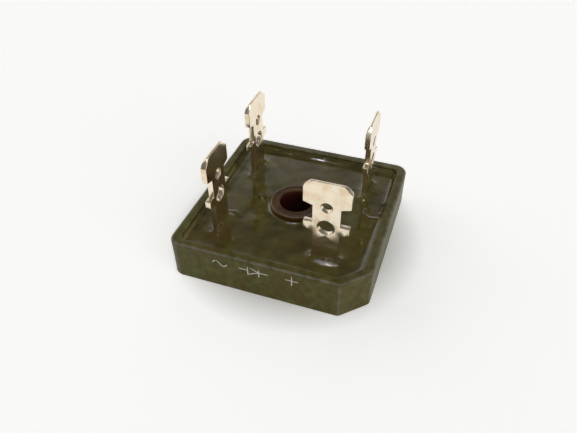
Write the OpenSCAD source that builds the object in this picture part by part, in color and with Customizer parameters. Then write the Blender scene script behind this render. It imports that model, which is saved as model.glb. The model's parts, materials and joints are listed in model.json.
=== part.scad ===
// Square bridge rectifier with a metal base, a centre screw hole and four
// upright 6.35 mm push-on terminals, potted flush inside a moulded frame.
// Millimetres. +Z up, origin on the underside at the centre of the screw hole.
// The marked front is -Y; the cut corner beside the plus terminal is +X -Y.

/* [Case frame] */
// Side of the square frame
case_side = 28.6; // [28:0.1:31]
// Height of the rim above the underside
case_h = 6.2; // [5.8:0.1:9]
// Thickness of the frame's wall
wall = 1.35; // [1:0.05:1.8]
// Radius of the three square upright corners
corner_r = 1.9; // [1.2:0.1:3]
// Leg of the cut corner
corner_cut = 3.5; // [2.5:0.1:4.5]
// Radius of the two upright edges of the cut corner
cut_r = 0.8; // [0.7:0.1:1.5]
// Radius of the upright corners inside the frame
cavity_r = 1; // [0.9:0.1:2]
// Bevel along the outer top edge
rim_bevel = 0.4; // [0.1:0.05:0.5]
// Bevel along the outer bottom edge
foot_bevel = 0.2; // [0.1:0.05:0.4]

/* [Base plate and insulator] */
// Thickness of the metal base plate
plate_t = 1.5; // [1:0.1:2]
// How far the plate's edge reaches under the frame's inner ledge
plate_lip = 0.5; // [0.3:0.05:0.7]
// Gap between the plate's edge and the frame
plate_gap = 0.05; // [0.02:0.01:0.1]
// Thickness of the ceramic insulator
insulator_t = 0.4; // [0.25:0.05:0.7]
// Distance from the insulator's edge to the frame's wall
insulator_margin = 1.8; // [1.6:0.1:2.2]

/* [Screw hole] */
// Bore of the sleeve, for the mounting screw
bore_d = 5; // [4.5:0.1:5.5]
// Outer diameter of the sleeve above the plate
sleeve_d = 7.8; // [7.4:0.1:8.2]
// Outer diameter of the sleeve's spigot inside the plate
spigot_d = 6.6; // [6.2:0.1:7]
// Radial gap between the spigot and the plate
spigot_gap = 0.05; // [0.02:0.01:0.1]
// Bevel on the sleeve's outer top edge
sleeve_bevel = 0.3; // [0.1:0.05:0.5]

/* [Terminal blades] */
// Thickness of the terminals' sheet metal
tab_t = 0.8; // [0.6:0.05:0.9]
// Width of the push-on blade
tab_w = 6.35; // [6:0.05:6.4]
// Height of the blade's tip above the underside
tab_top = 18.1; // [17.4:0.1:22]
// Height of the wide blade, from its tip to its lower corners
blade_h = 3.3; // [3:0.1:4]
// Width of the blade's flat tip
nose_w = 4.4; // [3.6:0.1:5.2]
// Height of the slanted corners beside the tip
nose_h = 1; // [0.6:0.1:1.4]
// Bevel on both faces along the tip
tip_bevel = 0.25; // [0.1:0.05:0.3]
// Width of the neck and of the stem
neck_w = 3.76; // [3.4:0.02:4]
// Height of the neck between the blade's corners and the ears
neck_h = 3.25; // [3:0.05:3.6]
// Width across the two ears
ear_w = 6.24; // [5.6:0.02:6.4]
// Height of the ears' outer edges
ear_h = 1.1; // [0.8:0.1:1.4]
// Drop of the slanted edges under the blade and under the ears
shoulder = 0.4; // [0.2:0.05:0.6]
// Diameter of the detent hole
detent_d = 1.6; // [1.4:0.1:1.8]
// Distance from the tip to the detent hole's centre
detent_drop = 3.75; // [3.6:0.05:4]
// Diameter of the wire hole between the ears
wire_d = 2.4; // [2:0.1:2.6]

/* [Terminal places and feet] */
// Distance from a blade's middle to the frame's side that its broad faces run along
tab_edge = 5.15; // [4.9:0.05:5.3]
// Distance from a blade's middle to the frame's other side beside it
tab_corner = 7.05; // [6.9:0.05:7.3]
// Inner radius of the fold at each terminal's foot
fold_r = 0.4; // [0.3:0.05:0.6]
// Gap between the sleeve and the nearest foot
foot_gap = 0.5; // [0.4:0.05:0.7]

/* [Diode chips] */
// Distance from each square chip's edge to the edge of the foot under it
chip_margin = 0.175; // [0.1:0.025:0.4]
// Thickness of each chip
chip_t = 0.3; // [0.2:0.05:0.4]
// Thickness of each solder layer
solder_t = 0.1; // [0.05:0.01:0.15]
// Distance from the chip's edge to the solder's edge
solder_inset = 0.15; // [0.05:0.05:0.3]

/* [Potting] */
// Height of the flat resin surface above the underside
resin_level = 5.05; // [4.8:0.05:5.3]
// Radius of the resin's rise against the frame
wall_climb_r = 0.85; // [0.5:0.05:0.9]
// Radius of the resin's rise against the sleeve
sleeve_climb_r = 0.75; // [0.4:0.05:0.9]
// Radius of the resin's rise against the terminals
stem_climb_r = 0.6; // [0.4:0.05:0.8]

/* [Hidden] */
$fn = 64;

// Cuts run this far past the surfaces that they open
past = 0.2;
// Shapes that join inside one piece overlap by this much
bite = 0.3;
// Flats that round each upright edge of the cut corner
cut_flats = 3;

// Stack of the parts above the underside
ac_foot_z = plate_t + insulator_t;
lower_solder_z = ac_foot_z + tab_t;
chip_z = lower_solder_z + solder_t;
upper_solder_z = chip_z + chip_t;
dc_foot_z = upper_solder_z + solder_t;

// Places of the blades' middles, square to their broad faces and along them
tab_far = case_side / 2 - tab_edge;
tab_near = case_side / 2 - tab_corner;

// The feet lie in a square ring between the sleeve and the blades' folds
foot_in = sleeve_d / 2 + foot_gap;
foot_out = tab_far - tab_t / 2 - fold_r;
stem_side = tab_near + neck_w / 2;
chip_side = foot_out - foot_in - 2 * chip_margin;
chip_c = (foot_in + foot_out) / 2;
strap_end = chip_c + chip_side / 2;
// Length of the minus strap's wide start under its fold
strap_start = 1.2;

// Heights along a blade
nose_z = tab_top - nose_h;
blade_z = tab_top - blade_h;
ear_top_z = blade_z - neck_h;
ear_z = ear_top_z - ear_h;
detent_z = tab_top - detent_drop;
wire_z = ear_top_z - ear_h / 2;

// Slopes of the resin's rise, from level, at its far edge and at its root
climb_far = 12;
climb_root = 70;

// An outline is a list of corners, each [centre, radius, first angle, last angle].
// This one is the frame's, moved in by d, with its square corners rounded by r
// and the two edges of its cut corner rounded by rc in short flats.
function frame_corners(d, r, rc) =
    let (
        a = case_side / 2 - d - r,
        b = case_side / 2 - d - rc,
        k = (case_side - corner_cut) - sqrt(2) * (d + rc) - b,
        turn = 45 / cut_flats
    )
    [
        [[a, a], r, 0, 90],
        [[-a, a], r, 90, 180],
        [[-a, -a], r, 180, 270],
        for (edge = [[[k, -b], 270], [[b, -k], 315]], i = [0 : cut_flats])
            let (angle = edge[1] + i * turn)
            [
                edge[0] + rc * [cos(angle), sin(angle)], 0,
                max(edge[1], angle - turn / 2), min(edge[1] + 45, angle + turn / 2)
            ]
    ];
function box_corners(x, y) =
    [
        [[x / 2, y / 2], 0, 0, 90],
        [[-x / 2, y / 2], 0, 90, 180],
        [[-x / 2, -y / 2], 0, 180, 270],
        [[x / 2, -y / 2], 0, 270, 360]
    ];
function on_corner(c, angle) = c[0] + c[1] * [cos(angle), sin(angle)];

outer_line = frame_corners(0, corner_r, cut_r);
cavity_line = frame_corners(wall, cavity_r, cavity_r);
rebate_line = frame_corners(wall - plate_lip, cavity_r, cavity_r);
plate_line = frame_corners(wall - plate_lip + plate_gap, cavity_r, cavity_r);
stem_line = box_corners(tab_t, neck_w);

// Fills an outline
module area(corners) {
    polygon([for (c = corners) each [on_corner(c, c[2]), on_corner(c, c[3])]]);
    for (c = corners) if (c[1] > 0) translate(c[0]) circle(r = c[1]);
}

// Carries a profile, drawn as outward distance and height, round an outline.
// Sharp corners are rounded, or mitred by running the straights on by mitre.
module carry(corners, mitre = 0) {
    for (i = [0 : len(corners) - 1]) {
        c = corners[i];
        next = corners[(i + 1) % len(corners)];
        start_more = c[1] > 0 ? 0 : mitre;
        end_more = next[1] > 0 ? 0 : mitre;
        run = norm(on_corner(next, next[2]) - on_corner(c, c[3]));
        if (c[1] > 0 || mitre == 0) translate(c[0]) rotate([0, 0, c[2]])
            rotate_extrude(angle = c[3] - c[2]) translate([c[1], 0]) children();
        translate(on_corner(next, next[2])) rotate([0, 0, c[3]])
            translate([0, end_more, 0]) rotate([90, 0, 0])
            linear_extrude(run + start_more + end_more) children();
    }
}

// Section of resin climbing a wall that stands at x = 0, resin on the +x side
module climb_section(r, behind = 0) {
    reach = r * (sin(climb_root) - sin(climb_far));
    rise = r * (cos(climb_far) - cos(climb_root));
    middle = [reach + r * sin(climb_far), resin_level + r * cos(climb_far)];
    difference() {
        translate([-behind, resin_level - bite]) square([behind + middle[0], bite + rise + past]);
        translate(middle) circle(r = r);
    }
}

module case_frame() color("#33332a") difference() {
    linear_extrude(case_h) area(outer_line);
    translate([0, 0, plate_t]) linear_extrude(case_h) area(cavity_line);
    translate([0, 0, -past]) linear_extrude(plate_t + past) area(rebate_line);
    carry(outer_line, past) polygon([
        [-rim_bevel - past, case_h + past], [past, case_h + past],
        [past, case_h - rim_bevel - past]
    ]);
    carry(outer_line, past) polygon([
        [-foot_bevel - past, -past], [past, -past], [past, foot_bevel + past]
    ]);
}

module base_plate() color("#b9bab8") difference() {
    linear_extrude(plate_t) area(plate_line);
    translate([0, 0, -past]) cylinder(h = plate_t + 2 * past, d = spigot_d + 2 * spigot_gap);
}

module insulator_plate() color("#ece8df") {
    side = case_side - 2 * (wall + insulator_margin);
    translate([0, 0, plate_t]) linear_extrude(insulator_t) difference() {
        square(side, center = true);
        circle(d = sleeve_d + foot_gap);
    }
}

module mounting_sleeve() color("#2b211c") rotate_extrude() polygon([
    [bore_d / 2, 0], [spigot_d / 2, 0], [spigot_d / 2, plate_t], [sleeve_d / 2, plate_t],
    [sleeve_d / 2, case_h - sleeve_bevel], [sleeve_d / 2 - sleeve_bevel, case_h],
    [bore_d / 2, case_h]
]);

// Flat outline of a terminal from inside the resin to the tip
module tab_outline() {
    right = [
        [neck_w / 2, resin_level], [neck_w / 2, ear_z - shoulder],
        [ear_w / 2, ear_z], [ear_w / 2, ear_top_z],
        [neck_w / 2, ear_top_z], [neck_w / 2, blade_z - shoulder],
        [tab_w / 2, blade_z], [tab_w / 2, nose_z], [nose_w / 2, tab_top]
    ];
    last = len(right) - 1;
    difference() {
        polygon(concat(right, [for (i = [last : -1 : 0]) [-right[i][0], right[i][1]]]));
        translate([0, detent_z]) circle(d = detent_d);
        translate([0, wire_z]) circle(d = wire_d);
    }
}

// Side view of a terminal's stem and fold, drawn as x and height
module fold_outline(foot_z) {
    centre = [tab_t / 2 + fold_r, foot_z + tab_t + fold_r];
    translate([-tab_t / 2, centre[1]]) square([tab_t, resin_level + bite - centre[1]]);
    intersection() {
        translate(centre) difference() {
            circle(r = fold_r + tab_t);
            circle(r = fold_r);
        }
        translate([-tab_t / 2, foot_z]) square([fold_r + tab_t, fold_r + tab_t]);
    }
}

// One blade, its stem and its fold, with broad faces +-X, folded towards +X
module blade(foot_z) {
    difference() {
        translate([-tab_t / 2, 0, 0]) rotate([90, 0, 90]) linear_extrude(tab_t) tab_outline();
        for (side = [-1, 1]) translate([0, tab_w, 0]) rotate([90, 0, 0])
            linear_extrude(2 * tab_w) polygon([
                [side * (tab_t / 2 - tip_bevel - past), tab_top + past],
                [side * (tab_t / 2 + past), tab_top + past],
                [side * (tab_t / 2 + past), tab_top - tip_bevel - past]
            ]);
    }
    translate([0, neck_w / 2, 0]) rotate([90, 0, 0]) linear_extrude(neck_w) fold_outline(foot_z);
}

// A flat piece of terminal sheet between two corners
module strap(from, to, z) {
    translate([from[0], from[1], z]) cube([to[0] - from[0], to[1] - from[1], tab_t]);
}

module terminal_ac_left() color("#d9d3c4") {
    translate([-tab_far, -tab_near, 0]) blade(ac_foot_z);
    strap([-foot_out, -stem_side], [-foot_in, foot_out], ac_foot_z);
}

module terminal_ac_right() rotate([0, 0, 180]) terminal_ac_left();

module terminal_minus() color("#d9d3c4") {
    translate([-tab_far, tab_near, 0]) blade(dc_foot_z);
    strap([-foot_out, foot_in], [strap_end, foot_out], dc_foot_z);
    strap([-foot_out, foot_out - bite], [strap_start - foot_out, stem_side], dc_foot_z);
}

module terminal_plus() color("#d9d3c4") {
    translate([tab_near, -tab_far, 0]) rotate([0, 0, 90]) blade(dc_foot_z);
    strap([-strap_end, -foot_out], [stem_side, -foot_in], dc_foot_z);
}

// A square layer over the middle of a chip; side_x is -1 left, side_y is -1 at the plus strap
module layer(side_x, side_y, z, side, height) {
    translate([side_x * chip_c - side / 2, side_y * chip_c - side / 2, z])
        cube([side, side, height]);
}

module chip(side_x, side_y) color("#55585c") layer(side_x, side_y, chip_z, chip_side, chip_t);

module solder_under(side_x, side_y) color("#a9abad")
    layer(side_x, side_y, lower_solder_z, chip_side - 2 * solder_inset, solder_t);

module solder_over(side_x, side_y) color("#a9abad")
    layer(side_x, side_y, upper_solder_z, chip_side - 2 * solder_inset, solder_t);

// The resin's rise round a terminal's stem
module stem_climb() carry(stem_line) climb_section(stem_climb_r);

module potting() color("#3a3a2c") difference() {
    union() {
        translate([0, 0, plate_t]) linear_extrude(resin_level - plate_t) area(cavity_line);
        intersection() {
            linear_extrude(case_h) area(cavity_line);
            carry(cavity_line, past) mirror([1, 0]) climb_section(wall_climb_r, past);
        }
        rotate_extrude() translate([sleeve_d / 2, 0]) climb_section(sleeve_climb_r, past);
        for (side = [-1, 1]) {
            translate([side * tab_far, side * tab_near, 0]) stem_climb();
        }
        translate([-tab_far, tab_near, 0]) stem_climb();
        translate([tab_near, -tab_far, 0]) rotate([0, 0, 90]) stem_climb();
    }
    translate([0, 0, plate_t - past]) cylinder(h = case_h, d = sleeve_d);
    insulator_plate();
    terminal_ac_left();
    terminal_ac_right();
    terminal_minus();
    terminal_plus();
    for (x = [-1, 1], y = [-1, 1]) {
        solder_under(x, y);
        chip(x, y);
        solder_over(x, y);
    }
}

case_frame();
base_plate();
insulator_plate();
mounting_sleeve();
terminal_ac_left();
terminal_ac_right();
terminal_minus();
terminal_plus();
chip(-1, -1);  // chip_left_plus
chip(-1, 1);  // chip_left_minus
chip(1, -1);  // chip_right_plus
chip(1, 1);  // chip_right_minus
solder_under(-1, -1);  // solder_under_left_plus
solder_over(-1, -1);  // solder_over_left_plus
solder_under(-1, 1);  // solder_under_left_minus
solder_over(-1, 1);  // solder_over_left_minus
solder_under(1, -1);  // solder_under_right_plus
solder_over(1, -1);  // solder_over_right_plus
solder_under(1, 1);  // solder_under_right_minus
solder_over(1, 1);  // solder_over_right_minus
potting();
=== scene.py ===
"""Dresses a square potted bridge rectifier and sets it in a plain pale studio.

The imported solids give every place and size. The moulded frame, the cast resin, the
sleeve and the four stamped terminals are built again here as finished surfaces over
their solids. The metal base, the insulator, the chips and the solder keep their solids
and get their finishes. Lengths are in millimetres until they go into a mesh.
"""

from __future__ import annotations

import json
import logging
import math
from collections.abc import Sequence
from dataclasses import dataclass, field
from enum import Enum

import bpy
import numpy as np
from mathutils import Matrix, Vector
from mathutils.geometry import delaunay_2d_cdt

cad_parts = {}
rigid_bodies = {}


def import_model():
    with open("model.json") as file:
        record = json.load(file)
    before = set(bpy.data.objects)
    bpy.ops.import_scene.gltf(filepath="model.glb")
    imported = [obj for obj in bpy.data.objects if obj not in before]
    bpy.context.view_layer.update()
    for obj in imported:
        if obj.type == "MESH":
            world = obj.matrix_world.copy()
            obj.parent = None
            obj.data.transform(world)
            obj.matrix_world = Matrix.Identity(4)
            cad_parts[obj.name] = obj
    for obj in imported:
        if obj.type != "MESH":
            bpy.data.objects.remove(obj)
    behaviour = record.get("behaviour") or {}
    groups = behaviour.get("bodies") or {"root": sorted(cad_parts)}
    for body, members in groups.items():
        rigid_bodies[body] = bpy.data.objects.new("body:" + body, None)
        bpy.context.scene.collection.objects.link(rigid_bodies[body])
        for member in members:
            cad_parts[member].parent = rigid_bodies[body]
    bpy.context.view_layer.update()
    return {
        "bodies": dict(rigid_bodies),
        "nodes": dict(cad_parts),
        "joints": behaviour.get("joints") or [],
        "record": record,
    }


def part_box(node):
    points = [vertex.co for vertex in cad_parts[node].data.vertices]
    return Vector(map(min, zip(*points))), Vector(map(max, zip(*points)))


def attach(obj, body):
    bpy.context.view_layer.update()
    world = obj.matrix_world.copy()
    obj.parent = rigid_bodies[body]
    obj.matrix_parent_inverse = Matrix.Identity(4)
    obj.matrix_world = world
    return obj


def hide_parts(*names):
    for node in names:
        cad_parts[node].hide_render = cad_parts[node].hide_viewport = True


LOG = logging.getLogger("rectifier")
BODY = "root"
MM = 0.001
# Lengths in millimetres under which two points count as one or a point as on a line
SAME_PLACE = 1e-7
ON_LINE = 1e-6
# Shortest and longest of the sines that make up waves, to their typical length
WAVE_SPREAD = (0.7, 1.6)
# Numbers of the Mix node's sockets for numbers and for colours
MIX_A, MIX_B, MIX_NUMBER = 2, 3, 0
MIX_FIRST, MIX_SECOND, MIX_COLOUR = 6, 7, 2

Array = np.ndarray
Colour = tuple[float, float, float, float]


class Slot(Enum):
    """The record's material slots that a piece built here stands for."""

    CASE = "case_plastic"
    RESIN = "resin"
    SLEEVE = "sleeve_plastic"
    TERMINAL = "terminal_metal"


class Facing(Enum):
    """Side towards which a terminal's foot is folded, as a turn about Z in degrees."""

    RIGHT = 0.0
    REAR = 90.0
    LEFT = 180.0

    def axes(self) -> tuple[Array, Array]:
        """Unit directions along the foot and across the blade."""
        turn = math.radians(self.value)
        along = np.array([math.cos(turn), math.sin(turn)])
        return along, np.array([-along[1], along[0]])


# ---------------------------------------------------------------- shared helpers


def linear(hex_colour: str) -> Colour:
    """Turns an sRGB hex colour into Blender's linear colour.

    Args:
        hex_colour: Six hex digits, such as "4f4d34".

    Returns:
        Red, green, blue and an alpha of one, in linear light.
    """
    srgb = np.array([int(hex_colour[i : i + 2], 16) for i in (0, 2, 4)]) / 255
    light = np.where(srgb <= 0.04045, srgb / 12.92, ((srgb + 0.055) / 1.055) ** 2.4)
    return (*light.tolist(), 1.0)


def empty_tree(holder: bpy.types.Material | bpy.types.World) -> bpy.types.NodeTree:
    """Gives a new material or world an empty node tree.

    Args:
        holder: The material or world.

    Returns:
        Its node tree.
    """
    holder.use_nodes = True
    holder.node_tree.nodes.clear()
    return holder.node_tree


def add_object(name: str, data: bpy.types.ID) -> bpy.types.Object:
    """Puts a mesh, a lamp or a camera into the scene.

    Args:
        name: Name of the object.
        data: The mesh, lamp or camera.

    Returns:
        The new object.
    """
    thing = bpy.data.objects.new(name, data)
    bpy.context.scene.collection.objects.link(thing)
    return thing


def add_node(
    tree: bpy.types.NodeTree,
    kind: str,
    values: dict[str | int, object] | None = None,
    links: dict[str | int, bpy.types.NodeSocket] | None = None,
    **settings: object,
) -> bpy.types.Node:
    """Adds one node to a tree, sets it and links it.

    Args:
        tree: Tree that the node goes into.
        kind: Blender's name of the node's type.
        values: Value of each unlinked input, by the input's name or number.
        links: Output that feeds each linked input, by the input's name or number.
        **settings: The node's own properties.

    Returns:
        The new node.
    """
    node = tree.nodes.new(kind)
    for name, value in settings.items():
        setattr(node, name, value)
    for name, value in (values or {}).items():
        node.inputs[name].default_value = value
    for name, source in (links or {}).items():
        tree.links.new(source, node.inputs[name])
    return node


def grid_quads(rows: int, columns: int, close_rows: bool, close_columns: bool) -> Array:
    """Joins a grid of points with four-sided faces.

    The point of row i and column j has the number i * columns + j. A face's corners
    run along the row first, so its normal is (along the columns) x (along the rows).

    Args:
        rows: Number of rows.
        columns: Number of columns.
        close_rows: Whether the last row joins the first.
        close_columns: Whether the last column joins the first.

    Returns:
        Corner numbers, four to a face.
    """
    row = np.arange(rows if close_rows else rows - 1)[:, None]
    here = np.arange(columns if close_columns else columns - 1)[None, :]
    below, above = row * columns, (row + 1) % rows * columns
    after = (here + 1) % columns
    corners = [below + here, below + after, above + after, above + here]
    return np.stack([corner.ravel() for corner in corners], axis=1)


def make_piece(
    name: str,
    points: Array,
    faces: Array | list[Array],
    finish: bpy.types.Material,
    node: str | None = None,
) -> bpy.types.Object:
    """Puts points and faces into a smooth mesh object that rides on the body.

    Args:
        name: Name of the piece.
        points: Corner places in millimetres, one row each.
        faces: Corner numbers of the faces, as one array or arrays of several widths.
        finish: Material of the whole piece.
        node: Solid that the piece replaces, if any.

    Returns:
        The new object.
    """
    groups = faces if isinstance(faces, list) else [faces]
    mesh = bpy.data.meshes.new(name)
    rows = [row for group in groups for row in group.tolist()]
    mesh.from_pydata((points * MM).tolist(), [], rows)
    mesh.polygons.foreach_set("use_smooth", np.ones(len(mesh.polygons), bool))
    mesh.materials.append(finish)
    mesh.update()
    piece = add_object(name, mesh)
    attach(piece, BODY)
    if node:
        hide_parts(node)
    LOG.info("%s: %d points, %d faces", name, len(points), len(rows))
    return piece


def store_share(piece: bpy.types.Object, name: str, share: Array) -> None:
    """Stores a share at each point of a piece, for its finish to read.

    Args:
        piece: The piece.
        name: Name of the attribute.
        share: Share at each point, in the points' order.
    """
    layer = piece.data.attributes.new(name, "FLOAT", "POINT")
    layer.data.foreach_set("value", share.ravel().astype(np.float32))


def arc_points(
    centre: Sequence[float], radius: float, start: float, end: float, count: int
) -> Array:
    """Points along an arc, from angle start to angle end.

    A point at angle a is the centre plus the radius times (cos a, sin a).

    Args:
        centre: Centre of the arc.
        radius: Radius of the arc.
        start: Angle of the first point, in degrees.
        end: Angle of the last point, in degrees.
        count: Number of points.

    Returns:
        The points, one row each.
    """
    turn = np.radians(np.linspace(start, end, count))
    return np.asarray(centre) + radius * np.stack([np.cos(turn), np.sin(turn)], axis=1)


def rounded_outline(
    corners: Array, radii: Array, arc_steps: int, side_steps: Sequence[int]
) -> tuple[Array, Array]:
    """Rounds a polygon's corners and gives the outward direction at each point.

    Each corner becomes an arc that touches its two sides. Points moved by a distance
    along the directions give the outline's parallel curve, with as many points.

    Args:
        corners: Corners in anticlockwise order, one row each, with a bend at each.
        radii: Radius at each corner.
        arc_steps: Steps along each arc.
        side_steps: Steps along the straight side after each corner.

    Returns:
        Points and outward unit directions, one row each.
    """
    before = corners - np.roll(corners, 1, axis=0)
    before /= np.linalg.norm(before, axis=1)[:, None]
    after = np.roll(before, -1, axis=0)
    cross = before[:, 0] * after[:, 1] - before[:, 1] * after[:, 0]
    bend = np.arctan2(cross, (before * after).sum(1))
    cut = (radii * np.abs(np.tan(bend / 2)))[:, None]
    starts, ends = corners - before * cut, corners + after * cut
    heading = np.arctan2(before[:, 1], before[:, 0])[:, None]
    turn = heading + bend[:, None] * np.linspace(0, 1, arc_steps + 1) - math.pi / 2
    outward = np.stack([np.cos(turn), np.sin(turn)], axis=2)
    reach = (np.sign(bend) * radii)[:, None, None]
    arcs = starts[:, None] + reach * (outward - outward[:, :1])
    points, normals = [], []
    for k, steps in enumerate(side_steps):
        share = np.arange(1, steps)[:, None] / steps
        far = starts[(k + 1) % len(corners)]
        points += [arcs[k], ends[k] + (far - ends[k]) * share]
        normals += [outward[k], np.repeat(outward[k, -1:], steps - 1, axis=0)]
    return np.concatenate(points), np.concatenate(normals)


def waves(x: Array, y: Array, length: float, seed: int, count: int = 7) -> Array:
    """Gentle uneven waves over a plane.

    The height is the sum of several sines over the square root of their number. Each
    has its own direction, its own phase, and a length within WAVE_SPREAD of the given one.

    Args:
        x: First coordinate of each point.
        y: Second coordinate of each point.
        length: Typical wave length, in the coordinates' unit.
        seed: Seed of the directions, lengths and phases.
        count: Number of sines.

    Returns:
        Heights within about plus and minus one.
    """
    draw = np.random.default_rng(seed)
    shortest, longest = WAVE_SPREAD
    total = np.zeros(np.broadcast(x, y).shape)
    for _ in range(count):
        turn, own, phase = draw.uniform([0, shortest, 0], [math.tau, longest, math.tau])
        run = x * math.cos(turn) + y * math.sin(turn)
        total += np.sin(math.tau * run / (own * length) + phase)
    return total / math.sqrt(count)


# ---------------------------------------------------------------- finishes


@dataclass(frozen=True)
class Patches:
    """Cloudy patches of a real size, spread over a surface.

    Attributes:
        size_mm: Size of a patch.
        detail: Octaves of finer noise in the patches' edges.
        start: Noise value that becomes 0.
        end: Noise value that becomes 1, close to the start for hard edges.
    """

    size_mm: float
    detail: float
    start: float = 0.35
    end: float = 0.65

    def spread(
        self, tree: bpy.types.NodeTree, where: bpy.types.NodeSocket
    ) -> bpy.types.NodeSocket:
        """Adds the patches to a material.

        Args:
            tree: Tree that the pattern goes into.
            where: Coordinates in metres.

        Returns:
            A share from 0 to 1.
        """
        values = {"Scale": 1 / (self.size_mm * MM), "Detail": self.detail}
        noise = add_node(tree, "ShaderNodeTexNoise", values, {"Vector": where})
        limits = {"From Min": self.start, "From Max": self.end}
        links = {"Value": noise.outputs["Fac"]}
        return add_node(tree, "ShaderNodeMapRange", limits, links).outputs[0]


def lay_tones(
    tree: bpy.types.NodeTree,
    ground: str,
    layers: Sequence[tuple[bpy.types.NodeSocket, str]],
) -> bpy.types.NodeSocket:
    """Lays tones over a ground tone, each as far as its own share says.

    Args:
        tree: Tree that the nodes go into.
        ground: Hex colour of the ground.
        layers: Share and hex colour of each tone, from the lowest up.

    Returns:
        The colour.
    """
    colour = None
    for share, tone in layers:
        values = {MIX_SECOND: linear(tone)}
        links = {0: share}
        if colour:
            links[MIX_FIRST] = colour
        else:
            values[MIX_FIRST] = linear(ground)
        mix = add_node(tree, "ShaderNodeMix", values, links, data_type="RGBA")
        colour = mix.outputs[MIX_COLOUR]
    return colour


def stack_relief(
    tree: bpy.types.NodeTree, layers: Sequence[tuple[bpy.types.NodeSocket, float]]
) -> bpy.types.NodeSocket:
    """Stacks reliefs that are too fine for the mesh.

    Args:
        tree: Tree that the nodes go into.
        layers: Height pattern and depth in millimetres of each relief.

    Returns:
        The bent normal.
    """
    normal = None
    for height, depth_mm in layers:
        links = {"Height": height} | ({"Normal": normal} if normal else {})
        bump = add_node(tree, "ShaderNodeBump", {"Distance": depth_mm * MM}, links)
        normal = bump.outputs[0]
    return normal


@dataclass(frozen=True)
class Finish:
    """What every finish of the part has in common.

    Attributes:
        name: Name of the material, for what it is.
    """

    name: str

    def start(self) -> tuple[bpy.types.NodeTree, bpy.types.NodeSocket]:
        """Makes an empty material.

        Returns:
            Its node tree, and its Object coordinates in metres.
        """
        tree = empty_tree(bpy.data.materials.new(self.name))
        return tree, add_node(tree, "ShaderNodeTexCoord").outputs["Object"]

    def close(
        self,
        tree: bpy.types.NodeTree,
        values: dict[str, float],
        colour: bpy.types.NodeSocket,
        normal: bpy.types.NodeSocket,
        uneven: bpy.types.NodeSocket | None = None,
        rough: tuple[float, float] = (0.0, 1.0),
    ) -> bpy.types.Material:
        """Ends the material with its Principled surface.

        Args:
            tree: Tree that start() gave.
            values: The surface's plain numbers.
            colour: Its colour.
            normal: Its bent normal.
            uneven: Share that spreads the roughness, where it varies.
            rough: Roughness where that share is 0 and where it is 1.

        Returns:
            The finished material.
        """
        links = {"Base Color": colour, "Normal": normal}
        if uneven:
            limits = {"To Min": rough[0], "To Max": rough[1]}
            spread = add_node(tree, "ShaderNodeMapRange", limits, {"Value": uneven})
            links["Roughness"] = spread.outputs[0]
        surface = add_node(tree, "ShaderNodeBsdfPrincipled", values, links)
        add_node(tree, "ShaderNodeOutputMaterial", links={"Surface": surface.outputs[0]})
        return bpy.data.materials[self.name]


@dataclass(frozen=True)
class MouldedThermoset(Finish):
    """Moulded olive-black thermoset of the frame.

    Pressed from a filled powder in a satin mould: the skin is a dull green-black with
    cloudy lighter and browner patches where the filler shows. Its sharp edges are worn
    pale and carry a painted highlight, and the tops of the rear and right walls a painted sheen.

    Attributes:
        dark: Skin with little filler in it.
        light: Skin with much filler in it.
        brown: Browner skin, in wide faint patches.
        rubbed_and_highlight: Pale tone of the edges, partly worn and partly a painted highlight,
            also used for the painted sheen on the rear and right rims.
        cloud: The filler's patches.
        grain: The filler's grains, drawn coarser than real so that they show.
        wide: The browner patches.
        grain_share: Part of the filler's tone that the grains give, to one of the clouds.
        least_wear_and_highlight: Share of an edge's pale tone, worn and painted highlight alike,
            that shows where there is no filler.
        rough: Least and most roughness.
        cloud_depth: Depth of the clouds' relief.
        grain_depth: Depth of the grains' relief.
        ior: Index of refraction.
        gloss: Strength of the mirror image, which the dull skin keeps low.
    """

    dark: str = "4b4912"
    light: str = "6f6b35"
    brown: str = "634f20"
    # Pale edge tone: worn skin, painted highlight and painted sheen in one colour
    rubbed_and_highlight: str = "8a8475"
    cloud: Patches = Patches(size_mm=1.1, detail=5, start=0.36, end=0.66)
    grain: Patches = Patches(size_mm=0.22, detail=2, start=0.3, end=0.7)
    wide: Patches = Patches(size_mm=2.6, detail=3, start=0.48, end=0.8)
    grain_share: float = 0.3
    least_wear_and_highlight: float = 0.3
    rough: tuple[float, float] = (0.34, 0.48)
    cloud_depth: float = 0.006
    grain_depth: float = 0.003
    ior: float = 1.5
    gloss: float = 0.2

    def build(self) -> bpy.types.Material:
        """Mixes cloudy, grainy and brown patches, paled at the edges by the piece's attribute of
        worn edges and painted highlight.

        Returns:
            The material.
        """
        tree, where = self.start()
        cloud = self.cloud.spread(tree, where)
        grain = self.grain.spread(tree, where)
        share = {1: self.grain_share}
        links = {0: grain, 2: cloud}
        both = add_node(tree, "ShaderNodeMath", share, links, operation="MULTIPLY_ADD").outputs[0]
        most = {"From Max": 1 + self.grain_share}
        filler = add_node(tree, "ShaderNodeMapRange", most, {"Value": both}).outputs[0]
        least = {"To Min": self.least_wear_and_highlight}
        patchy = add_node(tree, "ShaderNodeMapRange", least, {"Value": filler}).outputs[0]
        # Pale edges from the piece's attribute: partly worn, partly a painted highlight, plus a
        # painted sheen on the rear and right rim tops
        wear_and_highlight = add_node(tree, "ShaderNodeAttribute", attribute_name="edge_wear_and_highlight").outputs["Fac"]
        links = {0: wear_and_highlight, 1: patchy}
        rubbed_and_highlight = add_node(tree, "ShaderNodeMath", links=links, operation="MULTIPLY").outputs[0]
        wide = self.wide.spread(tree, where)
        layers = ((filler, self.light), (wide, self.brown), (rubbed_and_highlight, self.rubbed_and_highlight))
        colour = lay_tones(tree, self.dark, layers)
        normal = stack_relief(tree, ((cloud, self.cloud_depth), (grain, self.grain_depth)))
        values = {"IOR": self.ior, "Specular IOR Level": self.gloss}
        return self.close(tree, values, colour, normal, grain, self.rough)


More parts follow.
